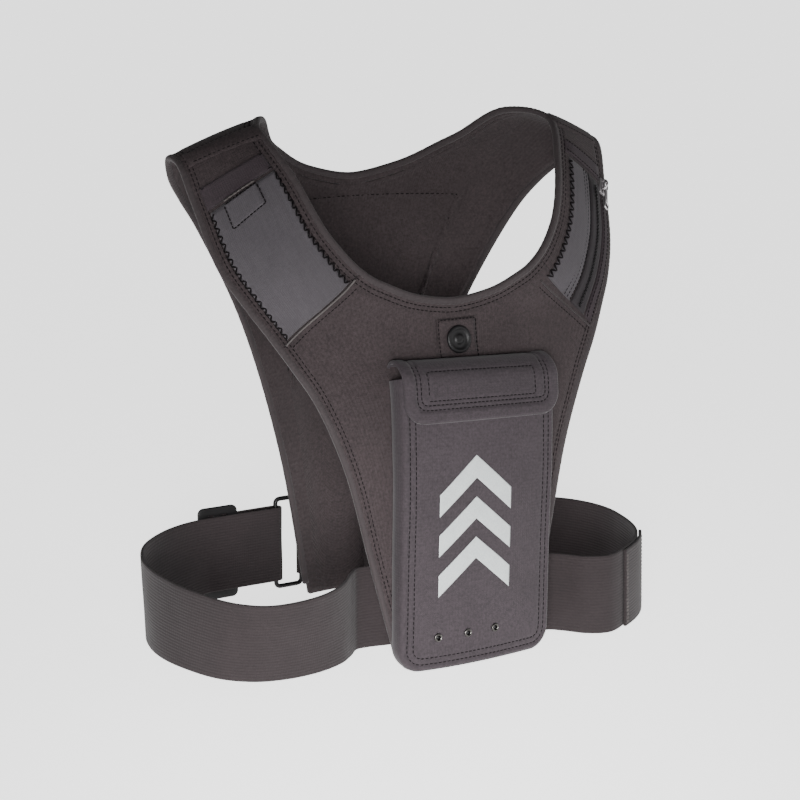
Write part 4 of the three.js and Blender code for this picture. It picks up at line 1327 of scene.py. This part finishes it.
# ---- Print and eyelets: their places on the pocket and their sections, in millimetres ----
CHEVRON_MIDDLE, CHEVRON_HALF, CHEVRON_BAR, CHEVRON_PEAK = -5, 23.5, 13, 21
CHEVRON_FOOT, CHEVRON_STEP = 44, 24
EYELETS, EYELET_RISE = (-28, -9, 9.5), 20
EYELET_RING = [
    (1.35, 0.0), (1.3, 0.35), (1.5, 0.75), (1.9, 0.95), (2.35, 0.85), (2.6, 0.45), (2.6, 0.0),
    (1.35, 0.0),
]
# The black disc inside each ring: painted shade where the hole's dark inside would be
EYELET_SHADE_DISC = [(0, -0.05), (1.4, -0.05), (1.4, 0.1), (0, 0.12)]


def make_pocket_trim():
    found = looks()
    for k in range(3):
        def place(u, v, k=k):
            x = CHEVRON_MIDDLE + (2 * u - 1) * CHEVRON_HALF
            arm = CHEVRON_BAR * v + (1 - abs(2 * u - 1)) * CHEVRON_PEAK
            z = CHEVRON_FOOT + CHEVRON_STEP * k + arm
            return pocket_point(x, z, face_height(x, z) + 0.28)

        bm = facing_out(cloth(64, 16, place), Vector((0, -1, 0)))
        piece = finish(f"chevron_print_{k + 1}", bm, found["print"], "reflective_print",
                       replaces=[f"reflective_chevron_{k + 1}"])
        wall(piece, 0.25)
    for k, x in enumerate(EYELETS):
        base = pocket_point(x, EYELET_RISE, face_height(x, EYELET_RISE) + 0.05)
        seat = seat_matrix(base, pocket_normal(x, EYELET_RISE))
        bm = bmesh.new()
        lathe(bm, EYELET_RING, seat, 32)
        finish(f"drain_eyelet_ring_{k + 1}", bm, found["nickel"], "eyelet_metal",
               replaces=[f"drain_eyelet_{k + 1}"])
        # A black disc on the uncut cloth inside the ring: painted shade standing for the hole
        bm = bmesh.new()
        lathe(bm, EYELET_SHADE_DISC, seat, 24)
        finish(f"drain_eyelet_painted_shade_{k + 1}", bm, found["plastic"], "black_plastic")


# ---- Belts and their hardware, in millimetres. The routes are seen from above ----
BELT_WIDTH = 50.0
BELT_THICK = 2.0
FOLD_X, WEB_Y, FOLD_GAP = -44.0, 81.0, 6.0  # where the right belt turns back through the ring
FOLD_TURNS = [math.pi / 4 * k for k in range(5)]
RIGHT_ROUTE = [
    (-38, -71), (-52, -69), (-64, -66.4), (-72, -66.6), (-79, -73), (-92, -85), (-110, -94),
    (-130, -97), (-149, -93), (-163, -80), (-172, -55), (-176, -26), (-174.5, 0), (-167, 24),
    (-152, 47), (-130, 66), (-112, 76), (-98, 80.4), (-84, WEB_Y), (-66, WEB_Y),
    *[(FOLD_X + 3 * math.sin(a), WEB_Y + 3 - 3 * math.cos(a)) for a in FOLD_TURNS],
    (-66, WEB_Y + FOLD_GAP), (-92, WEB_Y + FOLD_GAP),
]
LEFT_ROUTE = [
    (36, -71.6), (50, -69.5), (61, -67.4), (69, -67.8), (76, -75), (85, -86), (98, -91), (116, -83),
    (137, -68), (153, -48), (164, -20), (168.5, 6), (163, 31), (150, 49), (128, 61), (100, 70),
    (74, 72), (56, 70), (44, 68.6), (30, 69.2), (16, 70.4),
]
# Each belt: its route, its lower edge's height, and its flare, which is where along the route the
# belt leans, and how far.
RIGHT_BELT = (RIGHT_ROUTE, 12.0, (0.16, 0.66, 26.0))
LEFT_BELT = (LEFT_ROUTE, 0.0, (0.2, 0.75, -3.0))
OVERLAP = (0.34, 0.44)  # where along the left belt its end is sewn over
OVERLAP_OUT = BELT_THICK * 1.5


def belt_point(belt, run, v, out):
    """A place on a belt: run along it, v up its width, out from its middle in millimetres."""
    route, low, (start, end, lean) = belt
    p = route.at(run)
    along = route.heading(min(max(run, 0.001), 0.999))
    share = min(max((run - start) / (end - start), 0), 1)
    tilt = lean * (v - 0.5) * math.sin(math.pi * share) * p.y / 100
    return Vector((p.x + along.y * out, p.y - along.x * out + tilt, low + v * BELT_WIDTH))


def laid_out(belt):
    """A belt with its route made a smooth line."""
    route, low, flare = belt
    return Line([(x, y, 0) for x, y in route]), low, flare


def belt_cloth(name, belt, replaces, stretch=(0.0, 1.0), out=BELT_THICK / 2, columns=300):
    """The cloth of a belt, or of a stretch of it, that swells and sinks a little."""
    def place(u, v):
        return belt_point(belt, mix(*stretch, u), v, out)

    bm = cloth(columns, 24, place)
    rumple(bm)
    piece = finish(name, bm, looks()["belt"], "elastic_webbing", replaces=replaces)
    sewn_down(wall(piece, BELT_THICK, rounding=0.6), place)


def upright_row(belt, run, out):
    """A row of stitching up a belt's width, 2 mm clear of its edges."""
    row = []
    for k in range(31):
        v = mix(2 / BELT_WIDTH, 1 - 2 / BELT_WIDTH, k / 30)
        place = belt_point(belt, run, v, out)
        row.append((place, (belt_point(belt, run, v, out + 1) - place).normalized()))
    return row


def make_belts():
    found = looks()
    right, left = laid_out(RIGHT_BELT), laid_out(LEFT_BELT)
    belt_cloth("right_belt_elastic", right, ["right_waist_belt"])
    belt_cloth("left_belt_elastic", left, ["left_waist_belt"])
    belt_cloth("left_belt_overlap", left, ["left_belt_hem"], OVERLAP, OVERLAP_OUT + 0.6, 40)
    rows = [upright_row(left, run, OVERLAP_OUT + 0.75) for run in (0.3435, 0.3475, 0.4345)]
    stitched("left_belt_stitching", [(row, 2.4, 0.7) for row in rows], found["light_thread"],
             "edge_binding")
    rows = [upright_row(right, run, -BELT_THICK / 2 - 0.1) for run in (0.965, 0.985)]
    stitched("right_belt_stitching", [(row, 2.4, 0.8) for row in rows], found["thread"])


def framed_plate(columns, rows, holes, thickness, corner, edge):
    """A flat moulded frame: cells between column and row lines, some left open, then rounded."""
    bm = bmesh.new()
    bmesh.ops.create_grid(bm, x_segments=len(columns) - 1, y_segments=len(rows) - 1, size=0.5)
    for vert in bm.verts:
        i = round((vert.co.x + 0.5) * (len(columns) - 1))
        j = round((vert.co.y + 0.5) * (len(rows) - 1))
        vert.co = Vector((columns[i], 0, rows[j])) * MM
        vert.tag = i in (0, len(columns) - 1) and j in (0, len(rows) - 1)
    middles = [(face, face.calc_center_median() / MM) for face in bm.faces]
    lost = [f for f, c in middles if any(a < c.x < b and d < c.z < e for a, b, d, e in holes)]
    bmesh.ops.delete(bm, geom=lost, context="FACES")
    bmesh.ops.bevel(bm, geom=[v for v in bm.verts if v.tag], offset=corner * MM,
                    offset_type="OFFSET", segments=6, profile=0.5, affect="VERTICES", material=-1)
    bmesh.ops.recalc_face_normals(bm, faces=bm.faces)
    bmesh.ops.solidify(bm, geom=bm.faces[:], thickness=thickness * MM)
    middle = sum((v.co.y for v in bm.verts)) / len(bm.verts)
    bmesh.ops.translate(bm, vec=(0, -middle, 0), verts=bm.verts)
    bmesh.ops.recalc_face_normals(bm, faces=bm.faces)
    round_edges(bm, [e for e in bm.edges if e.calc_face_angle(0) > 1.0], edge, 3)
    return bm


GLIDE_BAR, GLIDE_FRAME, GLIDE_THICK = 2.4, 6.8, 2.2
RING_RADIUS, RING_CORNER = 1.5, 3.0
KEEPER_LOW, KEEPER_WIDTH, KEEPER_BEND = 14, 42, 2.7


def make_hardware():
    found = looks()
    low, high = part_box("belt_tri_glide")
    half_x, half_z = (high.x - low.x) / 2 / MM, (high.z - low.z) / 2 / MM
    columns = [-half_x, -GLIDE_FRAME, -GLIDE_BAR, GLIDE_BAR, GLIDE_FRAME, half_x]
    rows = [-half_z, -BELT_WIDTH / 2 - 0.7, BELT_WIDTH / 2 + 0.7, half_z]
    holes = [(-GLIDE_FRAME, -GLIDE_BAR, -26, 26), (GLIDE_BAR, GLIDE_FRAME, -26, 26)]
    bm = framed_plate(columns, rows, holes, GLIDE_THICK, 4.0, 0.6)
    bmesh.ops.translate(bm, vec=(low + high) / 2, verts=bm.verts)
    finish("tri_glide_moulded", bm, found["plastic"], "black_plastic", GLIDE, ["belt_tri_glide"])

    low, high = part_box("waist_ring")
    half_x = (high.x - low.x) / 2 / MM - RING_RADIUS
    half_z = (high.z - low.z) / 2 / MM - RING_RADIUS
    outline = []
    for k, (right, top) in enumerate(((1, -1), (1, 1), (-1, 1), (-1, -1))):
        for j in range(7):
            angle = math.pi / 2 * (k - 1 + j / 6)
            outline.append(Vector((
                right * (half_x - RING_CORNER) + RING_CORNER * math.cos(angle), 0,
                top * (half_z - RING_CORNER) + RING_CORNER * math.sin(angle),
            )))
    bm = bmesh.new()
    wire(bm, outline, RING_RADIUS, sides=14)
    bmesh.ops.translate(bm, vec=(low + high) / 2, verts=bm.verts)
    finish("waist_ring_moulded", bm, found["plastic"], "black_plastic", replaces=["waist_ring"])

    # The keeper's webbing runs from the back panel round the ring's bar and back on itself.
    x, y, bend = FOLD_X + 18.8, WEB_Y + FOLD_GAP / 2, KEEPER_BEND
    route = Line([
        (x + 22, y + 1.6, 0), (x + 12, y + 2.2, 0), (x, y + bend, 0), (x - bend, y, 0),
        (x, y - bend + 0.2, 0), (x + 2.4, y - bend + 1.2, 0),
    ])
    loop = (route, KEEPER_LOW, (0, 1, 0))

    def keeper(u, v):
        return belt_point(loop, u, v * KEEPER_WIDTH / BELT_WIDTH, 0)

    piece = finish("ring_keeper_webbing", cloth(60, 20, keeper), found["belt"], "elastic_webbing",
                   replaces=["ring_keeper"])
    sewn_down(wall(piece, 1.2, 0.0, 0.3), keeper)
    back = Vector((0, 1, 0))
    rows = [[(belt_point(loop, run, mix(0.05, 0.79, k / 20), -0.75), back) for k in range(21)]
            for run in (0.1, 0.2)]
    stitched("ring_keeper_stitching", [(row, 2.2, 0.8) for row in rows], found["thread"])


# ---- The patch on the back ----
def make_back_patch():
    found = looks()

    def place(u, v):
        rim = min(u, 1 - u, v, 1 - v)
        height = mix(SKIN + 0.3, PATCH_TOP, min(1.0, rim / 0.04))
        return lift(mix(-0.68, 0.68, u), mix(12.75, 14.55, v), height)

    bm = facing_out(cloth(90, 60, place), Vector((0, 1, 0)))
    press_in(bm, back_patch_rows(PATCH_TOP), 1.8, 0.35)
    piece = finish("back_reflector_panel", bm, found["panel"], "reflective_panel",
                   replaces=["back_reflector"])
    wall(piece, 0.8)
    row, = back_patch_rows(PATCH_TOP - 0.2)
    stitched("back_patch_stitching", [(row,)], found["light_thread"], "edge_binding")
    row, = back_patch_rows(-SKIN - 0.1)
    inner = [(p, -n) for p, n in row]
    stitched("back_patch_inner_stitching", [(inner, 3.6, 0.9)], found["thread"])


# ---- Stitching on the panels ----
def make_panel_stitching():
    look = looks()["thread"]
    sunk = SKIN - 0.3
    stitched("neck_stitching", [(row,) for row in neck_rows(sunk)], look)
    rows = side_rows(sunk)
    for side in (RIGHT, LEFT):
        for t in (RIDGE - 0.18, RIDGE + 0.18):
            shares = [side * mix(0.71, 0.97, k / 30) for k in range(31)]
            rows.append([(lift(s, t, SKIN + 0.75), form_normal(s, t)) for s in shares])
    stitched("side_stitching", [(row,) for row in rows], look)
    rows = [seam_row(side, SKIN + 0.05, 0.17) for side in (RIGHT, LEFT)]
    stitched("seam_stitching", [(row, 2.6, 0.7) for row in rows], look)


# ---- Stage, in metres, watts and degrees ----
CAMERA_TARGET = Vector((4.15, 8.4, 144.0)) * MM
CAMERA_BEARING, CAMERA_RISE, CAMERA_DISTANCE = math.radians(-31.97), math.radians(11.83), 1.2566
CAMERA_LENS, CAMERA_SENSOR = 90, 36
FLOOR_GLOW, ROOM_GLOW = 1.9, 0.2
# Each lamp: its name, place, the point it is aimed at, its size, power and spread.
LAMPS = (
    ("key_front_low", (-0.7, -1.1, 0.16), (-0.02, -0.08, -0.12), 0.5, 4.6, 42),
    ("fill_right", (1.1, -0.8, 0.2), (0.08, 0, 0.0), 0.6, 1.0, 70),
)


def area_light(name, place, aim, size, power, spread):
    """A round soft lamp."""
    data = bpy.data.lights.new(name, "AREA")
    data.shape, data.size, data.energy, data.spread = "DISK", size, power, math.radians(spread)
    lamp = bpy.data.objects.new(name, data)
    bpy.context.scene.collection.objects.link(lamp)
    lamp.location = place
    lamp.rotation_mode = "QUATERNION"
    lamp.rotation_quaternion = (Vector(place) - Vector(aim)).to_track_quat("Z", "Y")


def make_stage():
    bm = bmesh.new()
    bmesh.ops.create_grid(bm, x_segments=2, y_segments=2, size=60.0)
    mesh = bpy.data.meshes.new("floor")
    bm.to_mesh(mesh)
    bm.free()
    floor = bpy.data.objects.new("floor", mesh)
    bpy.context.scene.collection.objects.link(floor)
    # Opal acrylic lit from below: an even, shadowless white with a matt face.
    look, tree = blank("Backlit white acrylic table")
    body = add(tree, "TexCoord").outputs["Object"]
    grain = add(tree, "TexNoise", {"Scale": 3.0, "Detail": 2.0}, {"Vector": body}).outputs["Fac"]
    rough = add(tree, "MapRange", {"To Min": 0.85, "To Max": 0.95}, {"Value": grain}).outputs[0]
    table = add(tree, "BsdfPrincipled", {
        "Base Color": (0.86, 0.86, 0.86, 1), "Emission Color": (1, 1, 1, 1),
        "Emission Strength": FLOOR_GLOW,
    }, {"Roughness": rough}).outputs[0]
    add(tree, "OutputMaterial", None, {"Surface": table})
    mesh.materials.append(look)

    world = bpy.data.worlds.new("Soft studio")
    bpy.context.scene.world = world
    world.use_nodes = True
    back = world.node_tree.nodes["Background"]
    back.inputs["Color"].default_value = (1, 1, 1, 1)
    back.inputs["Strength"].default_value = ROOM_GLOW
    for lamp in LAMPS:
        area_light(*lamp)

    data = bpy.data.cameras.new("camera")
    data.lens, data.sensor_width = CAMERA_LENS, CAMERA_SENSOR
    data.clip_start, data.clip_end = 0.05, 50
    camera = bpy.data.objects.new("camera", data)
    bpy.context.scene.collection.objects.link(camera)
    out = Vector((
        math.sin(CAMERA_BEARING) * math.cos(CAMERA_RISE),
        -math.cos(CAMERA_BEARING) * math.cos(CAMERA_RISE),
        math.sin(CAMERA_RISE),
    ))
    camera.location = CAMERA_TARGET + out * CAMERA_DISTANCE
    camera.rotation_mode = "QUATERNION"
    camera.rotation_quaternion = out.to_track_quat("Z", "Y")
    bpy.context.scene.camera = camera


# ---- Add-on ----
def size_property(name, description, default, least):
    """A size in metres."""
    return FloatProperty(name=name, description=description, default=default, min=least,
                         unit="LENGTH")


def colour_property(name, description, code):
    """A colour from its sRGB hex code."""
    return FloatVectorProperty(name=name, description=description, subtype="COLOR", size=3,
                               default=linear(code), min=0.0, max=1.0)


class VestSizes(bpy.types.PropertyGroup):
    """The sizes of the vest's stitching and binding."""
    stitch_pitch: size_property("Stitch pitch", "Length of one stitch and its gap", 0.003, 0.001)
    thread_girth: size_property("Thread girth", "Thickness of the sewing thread", 0.0007, 0.0002)
    zigzag_pitch: size_property("Zigzag pitch", "Run of half a zigzag", 0.0024, 0.001)
    zigzag_girth: size_property("Zigzag girth", "Thickness of the zigzag's cord", 0.0013, 0.0005)
    binding_pucker: size_property("Binding pucker", "Height of the binding's gathers", 0.0002, 0.0)


class VestColours(bpy.types.PropertyGroup):
    """The colours of the vest's cloth, thread and metal."""
    neoprene: colour_property("Neoprene", "Jersey face of the panels and straps", "2A2425")
    pocket: colour_property("Pocket", "Jersey face of the phone pocket and flap", "2A2528")
    grey_knit: colour_property("Grey knit", "Cloth of the strap pockets", "383538")
    hem: colour_property("Hem", "Dark folded hems and tapes", "2A2427")
    binding: colour_property("Binding", "Elastane binding round the edges", "2B2627")
    piping: colour_property("Seam edge", "Light edge between strap and front", "464241")
    zip_tape: colour_property("Zip tape", "Woven tape beside the coil", "232022")
    webbing: colour_property("Webbing", "Elastic waist belts", "211C1D")
    reflective: colour_property("Reflective", "Reflective print on the pocket", "969A9A")
    thread: colour_property("Thread", "Dark sewing thread", "0D0B0C")
    plastic: colour_property("Plastic", "Buckles, stud and coil", "060506")
    zip_metal: colour_property("Zip metal", "Slider and pull", "A39FA1")
    eyelet: colour_property("Eyelet", "Plated eyelets", "4A4846")


class VEST_OT_panels(bpy.types.Operator):
    """Cut and shape the front, the back and both shoulder straps"""
    bl_idname = "vest.panels"
    bl_label = "Panels and straps"

    def execute(self, context):
        make_panels()
        return {"FINISHED"}


class VEST_OT_bindings(bpy.types.Operator):
    """Roll the binding round the neck and the side edges"""
    bl_idname = "vest.bindings"
    bl_label = "Bindings"

    def execute(self, context):
        make_bindings()
        return {"FINISHED"}


class VEST_OT_seams(bpy.types.Operator):
    """Lay the light seam edges and the shoulder tapes"""
    bl_idname = "vest.seams"
    bl_label = "Seams"

    def execute(self, context):
        make_seams()
        return {"FINISHED"}


class VEST_OT_right_strap_pocket(bpy.types.Operator):
    """Sew the grey pocket on the right strap"""
    bl_idname = "vest.right_strap_pocket"
    bl_label = "Right strap pocket"

    def execute(self, context):
        make_right_strap_pocket()
        return {"FINISHED"}


class VEST_OT_left_strap_pocket(bpy.types.Operator):
    """Sew the zip pocket on the left strap"""
    bl_idname = "vest.left_strap_pocket"
    bl_label = "Left strap pocket"

    def execute(self, context):
        make_left_strap_pocket()
        return {"FINISHED"}


class VEST_OT_zip(bpy.types.Operator):
    """Lay the coil, and cast the slider and its pull"""
    bl_idname = "vest.zip"
    bl_label = "Zip"

    def execute(self, context):
        make_zip()
        return {"FINISHED"}


class VEST_OT_stud(bpy.types.Operator):
    """Sew the tab and set the press stud"""
    bl_idname = "vest.stud"
    bl_label = "Stud"

    def execute(self, context):
        make_stud()
        return {"FINISHED"}


class VEST_OT_phone_pocket(bpy.types.Operator):
    """Make the phone pocket's bag and lining"""
    bl_idname = "vest.phone_pocket"
    bl_label = "Phone pocket"

    def execute(self, context):
        make_phone_pocket()
        return {"FINISHED"}


class VEST_OT_flap(bpy.types.Operator):
    """Make the flap, its stitching and its hook tape"""
    bl_idname = "vest.flap"
    bl_label = "Pocket flap"

    def execute(self, context):
        make_flap()
        return {"FINISHED"}


class VEST_OT_pocket_trim(bpy.types.Operator):
    """Print the chevrons and set the eyelets"""
    bl_idname = "vest.pocket_trim"
    bl_label = "Print and eyelets"

    def execute(self, context):
        make_pocket_trim()
        return {"FINISHED"}


class VEST_OT_belts(bpy.types.Operator):
    """Run the elastic belts and sew their ends"""
    bl_idname = "vest.belts"
    bl_label = "Waist belts"

    def execute(self, context):
        make_belts()
        return {"FINISHED"}


class VEST_OT_hardware(bpy.types.Operator):
    """Mould the tri-glide and ring, and loop the keeper"""
    bl_idname = "vest.hardware"
    bl_label = "Belt hardware"

    def execute(self, context):
        make_hardware()
        return {"FINISHED"}


class VEST_OT_back_patch(bpy.types.Operator):
    """Sew the reflective patch to the back"""
    bl_idname = "vest.back_patch"
    bl_label = "Back patch"

    def execute(self, context):
        make_back_patch()
        return {"FINISHED"}


class VEST_OT_panel_stitching(bpy.types.Operator):
    """Sew the twin rows round the edges"""
    bl_idname = "vest.panel_stitching"
    bl_label = "Panel stitching"

    def execute(self, context):
        make_panel_stitching()
        return {"FINISHED"}


class VEST_OT_stage(bpy.types.Operator):
    """Set out the floor, the lights and the camera"""
    bl_idname = "vest.stage"
    bl_label = "Stage"

    def execute(self, context):
        make_stage()
        return {"FINISHED"}


OPERATORS = (
    VEST_OT_panels,
    VEST_OT_bindings,
    VEST_OT_seams,
    VEST_OT_right_strap_pocket,
    VEST_OT_left_strap_pocket,
    VEST_OT_zip,
    VEST_OT_stud,
    VEST_OT_phone_pocket,
    VEST_OT_flap,
    VEST_OT_pocket_trim,
    VEST_OT_belts,
    VEST_OT_hardware,
    VEST_OT_back_patch,
    VEST_OT_panel_stitching,
    VEST_OT_stage,
)


class VEST_PT_sidebar(bpy.types.Panel):
    """Lists the vest's colours, sizes and makers."""
    bl_idname = "VEST_PT_sidebar"
    bl_label = "Running vest"
    bl_space_type = "VIEW_3D"
    bl_region_type = "UI"
    bl_category = "Vest"

    def draw(self, context):
        for group in (context.scene.vest_sizes, context.scene.vest_colours):
            for name in group.__annotations__:
                self.layout.prop(group, name)
        for cls in OPERATORS:
            self.layout.operator(cls.bl_idname)


CLASSES = [VestSizes, VestColours, *OPERATORS, VEST_PT_sidebar]


def register():
    for cls in CLASSES:
        bpy.utils.register_class(cls)
    bpy.types.Scene.vest_sizes = PointerProperty(type=VestSizes)
    bpy.types.Scene.vest_colours = PointerProperty(type=VestColours)


def unregister():
    del bpy.types.Scene.vest_sizes, bpy.types.Scene.vest_colours
    for cls in reversed(CLASSES):
        bpy.utils.unregister_class(cls)


def main():
    register()
    for cls in OPERATORS:
        getattr(bpy.ops.vest, cls.bl_idname.split(".")[1])()


if __name__ == "__main__":
    main()
